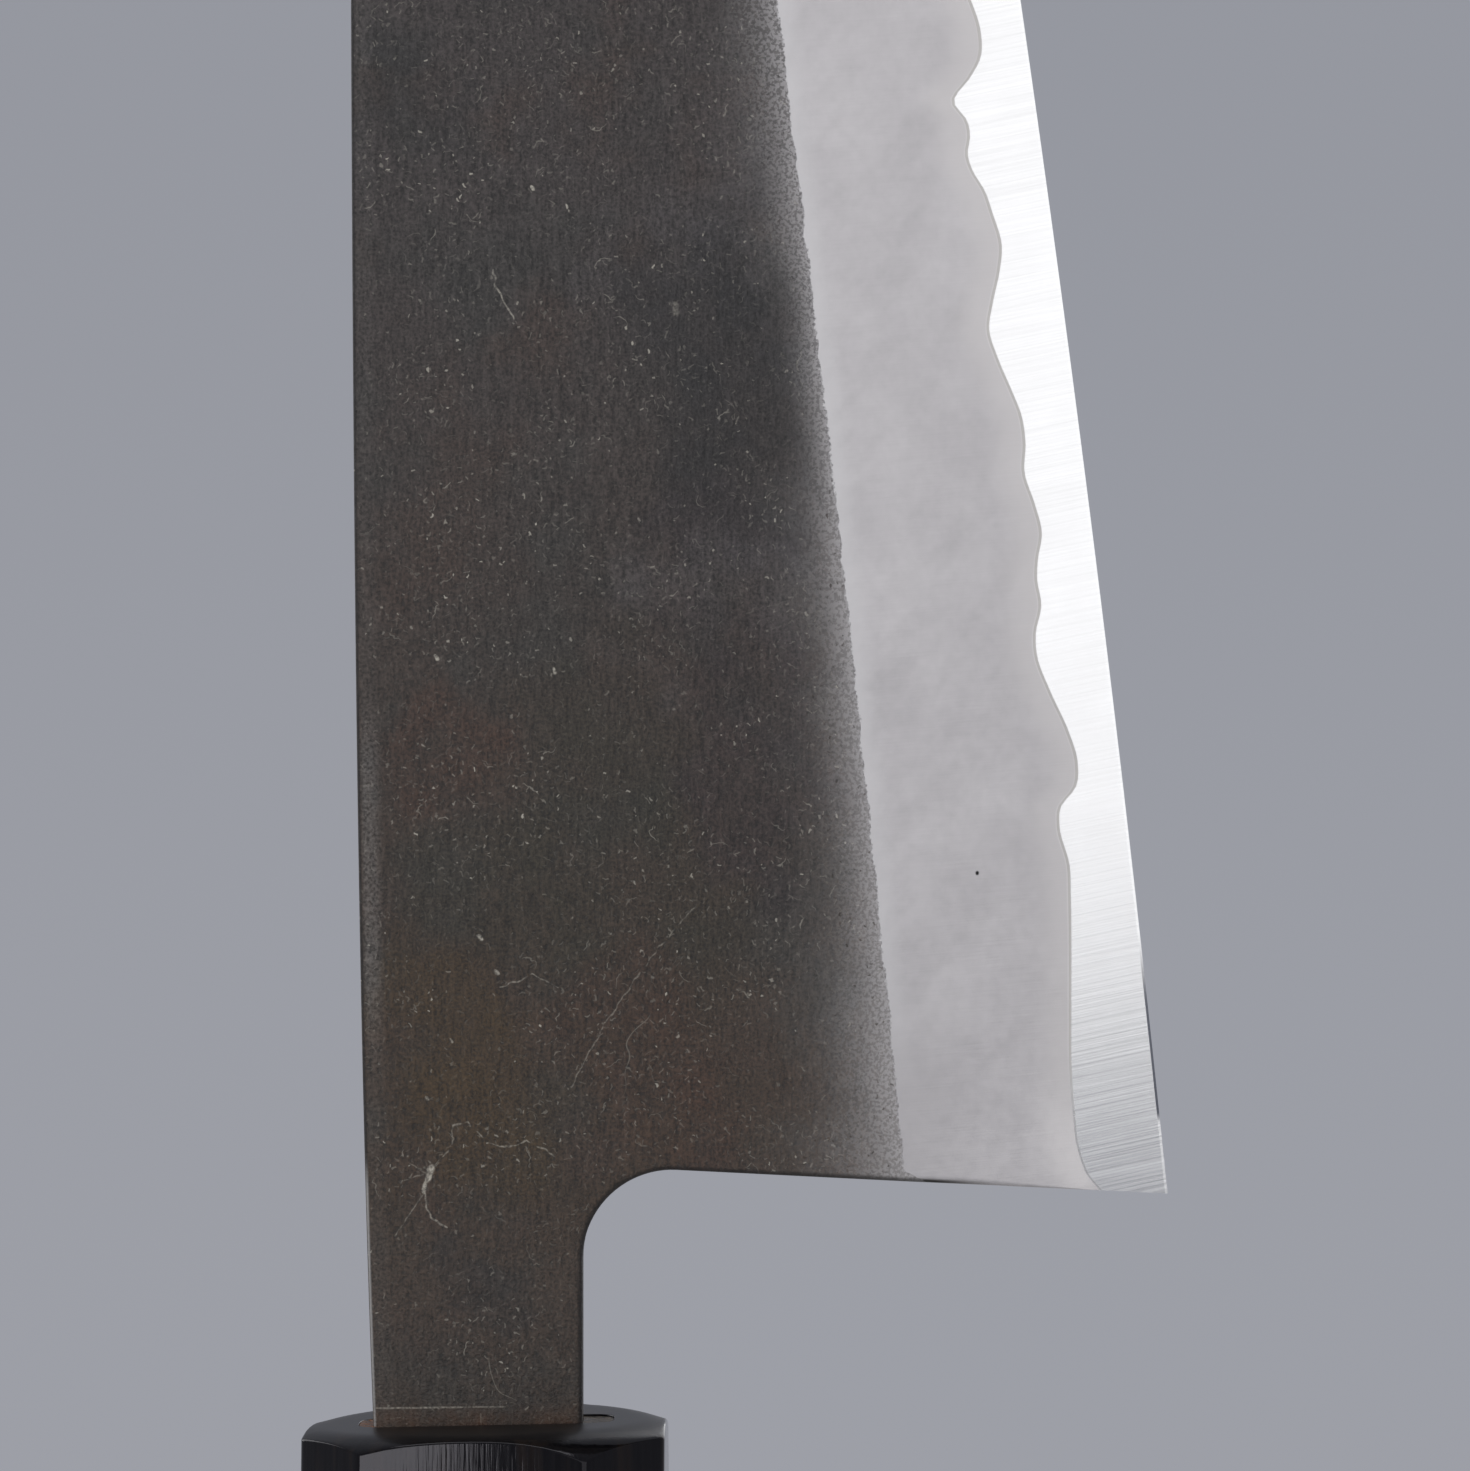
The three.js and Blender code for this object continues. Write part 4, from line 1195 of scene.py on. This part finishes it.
shade = linear(fine, 0.09, linear(scratch, 0.03, 0.95))
ground = shaded(ground, minus(shade, share_of(fold, 0.45, 1.0, 0.0, 0.06)))
pit = stroke_of(place, (PIT_X, PIT_Y, PIT_Z), (PIT_X, PIT_Y, PIT_Z + PIT_LENGTH), PIT_HALF)
ground = mix(pit, ground, grey(0.02))
ground = mix(share_of(weld, 2.8, 0.3, 0.0, 0.7), ground, BY_WELD)
# Painted highlight on the bevel by the weld at the heel.
ground = mix(times(share_of(weld, 3.6, 0.4, 0.0, 0.85), share_of(height, *HEEL_HIGHLIGHT_ROWS)), ground, PAINTED_HEEL_HIGHLIGHT)
ground = mix(times(share_of(weld, 0.28, 0.16, 0.0, 0.6), above_heel), ground, PALE_LINE)

# %% The ridge: uneven, and flaring out along the rim at the heel
wobble, ragged = mottle_of(place, 1.6, 1.0), mottle_of(place, 0.22, 2.6)
flare = linear(power(share_of(rim, 1.3, -0.2), 2.0), 1.4, 0.34)
ridge = minus(linear(ragged, 0.18, linear(wobble, 0.5, from_ridge)), flare)
ground = mix(times(share_of(ridge, 1.7, 0.1, 0.0, 0.5), above_heel), ground, BY_RIDGE)
# Painted shade on the bevel by the ridge at the heel.
ground = mix(times(share_of(ridge, 6.0, 0.5, 0.0, 0.5), share_of(height, *HEEL_SHADE_ROWS)), ground, PAINTED_HEEL_SHADE)
# Painted shade: a dark line along the rim beside the ridge at the heel.
ground = mix(times(share_of(rim, 0.3, 0.12), share_of(ridge, 5.0, 0.5)), ground, grey(0.05, 0.05))

# %% Scale above the ridge, ground iron below it
scale = use(forge_scale, {"Place": place, "Ridge": from_ridge, "Spine": spine, "Rim": rim})
on_bevel = share_of(ridge, -0.05, 0.07)
relief = blend(on_bevel, scale["Height"], times(scratch, 0.06))
feed(surface, {
    "Base Color": mix(on_bevel, scale["Color"], ground),
    "Metallic": on_bevel,
    "Roughness": blend(on_bevel, scale["Roughness"], linear(fine, 0.08, 0.40)),
    "Normal": bump(relief, 0.03),
    "Specular IOR Level": 0.35,
})
print("scaled iron:", len(scaled_iron.node_tree.nodes), "nodes")

# %% [markdown]
# ## Hard steel
# The bare core is brighter and smoother than the iron beside it. Two layers of fine brush lines cross it at
# a slight slant. Just inside the weld it shows a narrow duller line, where the two steels have mixed in the
# fire; it is faint at the heel. Low on the blade the honed edge carries painted shade, a dark bluish line,
# and towards the tip the steel gets rougher, as a hand hones it less evenly there. Where the core shows at
# the spine, the heel and the neck, it carries the forge scale.

# %% Material for the core
DARK_STEEL, LIGHT_STEEL = (0.79, 0.785, 0.775, 1), (0.82, 0.815, 0.807, 1)
HONED_EDGE_SHADE, EDGE_SHADE_START, EDGE_SHADE_END = (0.06, 0.066, 0.085, 1), (160.6, 161.4), (173.0, 168.0)
MIXED_ROWS, TIP_ROWS, DULL = (160.0, 166.0), (350.0, 378.0), 0.4
BRUSH_TURN, BRUSH_CONTRAST = math.radians(102), 3.4
FAR_FROM_RIDGE, FAR_FROM_RIM = -30.0, 5.0
bright_steel, surface, place = new_material("bright_steel")
weld, edge, spine = kept_distances(place, "weld", "edge", "spine")
height = split(place)["Z"]
sideways = side_place(place)
brush = 0.0
for width, length, weight in ((0.11, 12.0, 0.6), (0.28, 18.0, 0.4)):
    brush = linear(lines_of(sideways, width, length, BRUSH_CONTRAST, BRUSH_TURN), weight, brush)
bright = mix(mottle_of(place, 3.0, 2.0), DARK_STEEL, LIGHT_STEEL)
bright = shaded(bright, linear(brush, 0.15, 0.8975))
mixed = times(share_of(weld, -0.06, 0.02), share_of(height, *MIXED_ROWS, 0.4, 1.0))
bright = mix(times(mixed, 0.9), bright, grey(0.43, 0.05))
# Painted shade: the honed edge is painted dark and bluish low on the blade.
honed = times(share_of(height, *EDGE_SHADE_START), share_of(height, *EDGE_SHADE_END))
bright = mix(times(honed, share_of(edge, 0.17, 0.14, 0.0, 0.93)), bright, HONED_EDGE_SHADE)
rough = blend(mixed, linear(brush, 0.06, 0.125), DULL)
rough = blend(share_of(height, *TIP_ROWS), rough, DULL)
scale = use(forge_scale, {"Place": place, "Ridge": FAR_FROM_RIDGE, "Spine": spine, "Rim": FAR_FROM_RIM})
on_strip = share_of(edge, 8.0, 7.0)
relief = blend(on_strip, scale["Height"], times(brush, 0.036))
feed(surface, {
    "Base Color": mix(on_strip, scale["Color"], bright),
    "Metallic": on_strip,
    "Roughness": blend(on_strip, scale["Roughness"], rough),
    "Normal": bump(relief, 0.02),
})
print("bright steel:", len(bright_steel.node_tree.nodes), "nodes")

# %% [markdown]
# ## Black horn
# Buffalo horn is nearly black, with a dull grain of fibres along its length that shows in reflections, and
# a few brown streaks where the horn is translucent. Polishing leaves the facets glossy, with a faint violet
# tint in the gloss, and the front, which is end grain, duller.

# %% Material for the ferrule
BLACK_HORN, BROWN_HORN = (0.0020, 0.0018, 0.0023, 1), (0.009, 0.006, 0.0045, 1)
HORN_FIBRE = (0.010, 0.0097, 0.0105, 1)
GLOSS_TINT, FRONT_ROUGH = (0.95, 0.92, 1.0, 1), 0.34
polished_horn, surface, place = new_material("polished_horn")
fibre, streak = lines_of(place, 0.2, 5.0, 2.8), lines_of(place, 1.6, 22.0, 3.0, 0.05)
horn = mix(share_of(streak, 0.55, 1.0), BLACK_HORN, BROWN_HORN)
upward = split(put(polished_horn.node_tree, "ShaderNodeNewGeometry").outputs["Normal"])["Z"]
feed(surface, {
    "Base Color": mix(times(fibre, 0.3), horn, HORN_FIBRE),
    "Roughness": blend(share_of(upward, 0.86, 0.97), linear(fibre, 0.06, 0.035), FRONT_ROUGH),
    "Normal": bump(fibre, 0.0016),
    "Specular IOR Level": 0.22,
    "Specular Tint": GLOSS_TINT,
})
print("polished horn:", len(polished_horn.node_tree.nodes), "nodes")

# %% [markdown]
# ## Woods and resin
# The handle is plain pale magnolia: straight lengthwise grain, a faint darker figure and tiny pores. The
# dowel inside is a plainer, darker wood. The seal round the neck is set resin, amber-brown at the spine end
# of the slot and sooty elsewhere.

# %% Materials for handle, dowel and seal
def wood(name, pale, dark, figure_width):
    material, surface, place = new_material(name)
    figure = lines_of(place, figure_width, 70.0, 3.2, 0.03)
    fibre, pores = lines_of(place, 0.22, 5.0, 2.2), lines_of(place, 0.12, 1.6, 3.0)
    haze = mottle_of(place, 18.0, 2.0)
    colour = mix(linear(figure, 0.55, times(haze, 0.3)), pale, dark)
    colour = mix(times(fibre, 0.22), colour, dark)
    deep = tuple(0.45 * c for c in dark[:3]) + (1,)
    feed(surface, {
        "Base Color": mix(share_of(pores, 0.75, 1.0, 0.0, 0.5), colour, deep),
        "Roughness": linear(fibre, 0.15, 0.45),
        "Normal": bump(minus(fibre, pores), 0.02),
        "Specular IOR Level": 0.35,
    })
    return material


DARK_RESIN, AMBER, AMBER_END = (0.030, 0.018, 0.012, 1), (0.25, 0.105, 0.04, 1), (-7.1, -6.4)
magnolia_grain = wood("magnolia_grain", (0.62, 0.47, 0.27, 1), (0.46, 0.31, 0.15, 1), 2.6)
dowel_grain = wood("dowel_grain", (0.52, 0.33, 0.15, 1), (0.36, 0.20, 0.08, 1), 1.4)
amber_resin, surface, place = new_material("amber_resin")
swirl = mottle_of(place, 0.4, 3.6)
amber, sooty = mix(swirl, DARK_RESIN, AMBER), mix(swirl, grey(0.02, 0.15), grey(0.10, 0.25))
feed(surface, {
    "Base Color": mix(share_of(split(place)["X"], *AMBER_END), amber, sooty),
    "Roughness": linear(swirl, 0.2, 0.35),
    "Normal": bump(swirl, 0.05),
    "Specular IOR Level": 0.2,
})
print("woods and resin:", [material.name for material in (magnolia_grain, dowel_grain, amber_resin)])

# %% Grow the handle from its tree
HANDLE_SHARP = math.radians(30)
carrier = add_object("handle_carrier", bpy.data.meshes.new("handle_carrier"))
growth = carrier.modifiers.new("handle", "NODES")
growth.node_group = handle_tree
handle_inputs = {name: size * MM for name, size in HANDLE_SIZES.items()}
handle_inputs |= {"Roll": ROLL, "Wood": magnolia_grain}
for item in handle_tree.interface.items_tree:
    if item.in_out == "INPUT" and item.name in handle_inputs:
        growth[item.identifier] = handle_inputs[item.name]
evaluated = carrier.evaluated_get(bpy.context.evaluated_depsgraph_get())
handle_mesh = bpy.data.meshes.new_from_object(evaluated)
bpy.data.objects.remove(carrier)
handle = add_object("wood_handle", handle_mesh)
for polygon in handle_mesh.polygons:
    polygon.use_smooth = True
handle_mesh.set_sharp_from_angle(angle=HANDLE_SHARP)
print("handle:", len(handle_mesh.polygons), "faces", [round(d / MM, 2) for d in handle.dimensions])

# %% [markdown]
# ## Dress the frame
# Each piece gets its finish, rides on the knife's one body and stands for its solid. The dowel is a simple
# shape that the solid already has right and that nobody sees, so it only gets a new material.

# %% Finishes and bodies
for piece, node, slot_name, material in (
    (core, "core_steel", "hard_steel", bright_steel),
    (right_cladding, "right_cladding", "forged_iron", scaled_iron),
    (left_cladding, "left_cladding", "forged_iron", scaled_iron),
    (ferrule, "ferrule", "black_horn", polished_horn),
    (handle, "handle_body", "magnolia", magnolia_grain),
    (seal, "tang_seal", "resin", amber_resin),
):
    piece.data.materials.clear()
    piece.data.materials.append(material)
    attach(piece, "root")
    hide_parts(node)
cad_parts["slotted_dowel"].material_slots[0].material = dowel_grain
print("dressed:", [piece.name for piece in (core, right_cladding, left_cladding, ferrule, handle, seal)])

# %% [markdown]
# ## Floor, light and camera
# A pale round floor lies under the butt and fades out at its rim. The world is a blue-grey, a little lighter
# below. A large soft panel stands to the right of the camera: the bevel mirrors it, which is what makes the
# bare core shine while the flats, which face the camera, stay dark. The right back panel does the same for
# the far bevel. A lower panel on the left lights the flats and shows in the horn. One more stands behind the
# knife on the left, and one hangs above it.

# %% Floor
FLOOR_RADIUS, FLOOR_SIDES, FLOOR_DROP, FADE_START = 0.62, 96, 0.0002, 0.45
FLOOR_COLOUR = (0.62, 0.62, 0.62, 1)
floor_mesh = bpy.data.meshes.new("floor")
bm = bmesh.new()
bmesh.ops.create_circle(bm, cap_ends=True, segments=FLOOR_SIDES, radius=FLOOR_RADIUS)
bm.to_mesh(floor_mesh)
bm.free()
floor = add_object("floor", floor_mesh)
floor.location.z = -FLOOR_DROP
floor_paint = bpy.data.materials.new("floor_paint")
floor_paint.use_nodes = True
tree = floor_paint.node_tree
tree.nodes.clear()
on_floor = put(tree, "ShaderNodeTexCoord").outputs["Object"]
from_middle = put(tree, "ShaderNodeVectorMath", {0: on_floor}, operation="LENGTH").outputs["Value"]
fade = share_of(from_middle, FADE_START * FLOOR_RADIUS, FLOOR_RADIUS)
paint = put(tree, "ShaderNodeBsdfDiffuse", {"Color": FLOOR_COLOUR})
clear = put(tree, "ShaderNodeBsdfTransparent")
faded = put(tree, "ShaderNodeMixShader", {0: fade, 1: paint.outputs[0], 2: clear.outputs[0]})
put(tree, "ShaderNodeOutputMaterial", {"Surface": faded.outputs[0]})
floor_mesh.materials.append(floor_paint)
print("floor radius", FLOOR_RADIUS, "m")

# %% World
LOWER_SKY, UPPER_SKY, HORIZON = (0.338, 0.347, 0.385, 1), (0.302, 0.312, 0.350, 1), (-0.14, 0.14)
world = bpy.data.worlds.new("studio")
bpy.context.scene.world = world
world.use_nodes = True
facing = split(put(world.node_tree, "ShaderNodeTexCoord").outputs["Generated"])
sky = mix(share_of(facing["Z"], *HORIZON), LOWER_SKY, UPPER_SKY)
feed(world.node_tree.nodes["Background"].inputs, {"Color": sky})
print("world:", len(world.node_tree.nodes), "nodes")

# %% Lamps
AIM, TOP_AIM = (0.02, 0, 0.2), (0.0, 0, 0.2)


def soft_panel(name, place, aim, width, height, radiance):
    """A flat lamp whose face has the given brightness, aimed at a point."""
    light = bpy.data.lights.new(name, "AREA")
    light.shape = "RECTANGLE"
    light.size, light.size_y = width, height
    light.energy = radiance * math.pi * width * height
    lamp = add_object(name, light)
    lamp.location = place
    direction = [b - a for a, b in zip(place, aim)]
    lamp.rotation_euler = Vector(direction).to_track_quat("-Z", "Y").to_euler()
    lamp.visible_camera = False
    print(name, round(light.energy, 2), "W")


soft_panel("right_panel", (0.53, -1.0, 0.557), AIM, 0.9, 0.9, 1.0)
soft_panel("left_panel", (-0.446, -0.9, 0.23), AIM, 0.62, 0.46, 4.8)
soft_panel("right_back_panel", (0.55, 1.0, 0.557), AIM, 0.9, 0.9, 1.1)
soft_panel("left_back_panel", (-1.1, 0.75, 0.7), AIM, 0.8, 0.8, 2.2)
soft_panel("top_panel", (0.0, -0.1, 1.7), TOP_AIM, 0.9, 0.9, 2.4)

# %% Camera, level, square to the flat
CAMERA_X, CAMERA_Y, CAMERA_Z = 15.5, -380.0, 184.9
FRAME_WIDTH = 91.9
camera_data = bpy.data.cameras.new("camera")
camera_data.lens = camera_data.sensor_width * -CAMERA_Y / FRAME_WIDTH
camera = add_object("camera", camera_data)
camera.location = (CAMERA_X * MM, CAMERA_Y * MM, CAMERA_Z * MM)
camera.rotation_euler = (math.pi / 2, 0, 0)
bpy.context.scene.camera = camera
bpy.context.scene.view_settings.view_transform = "Standard"
print("lens", round(camera_data.lens, 1), "mm")
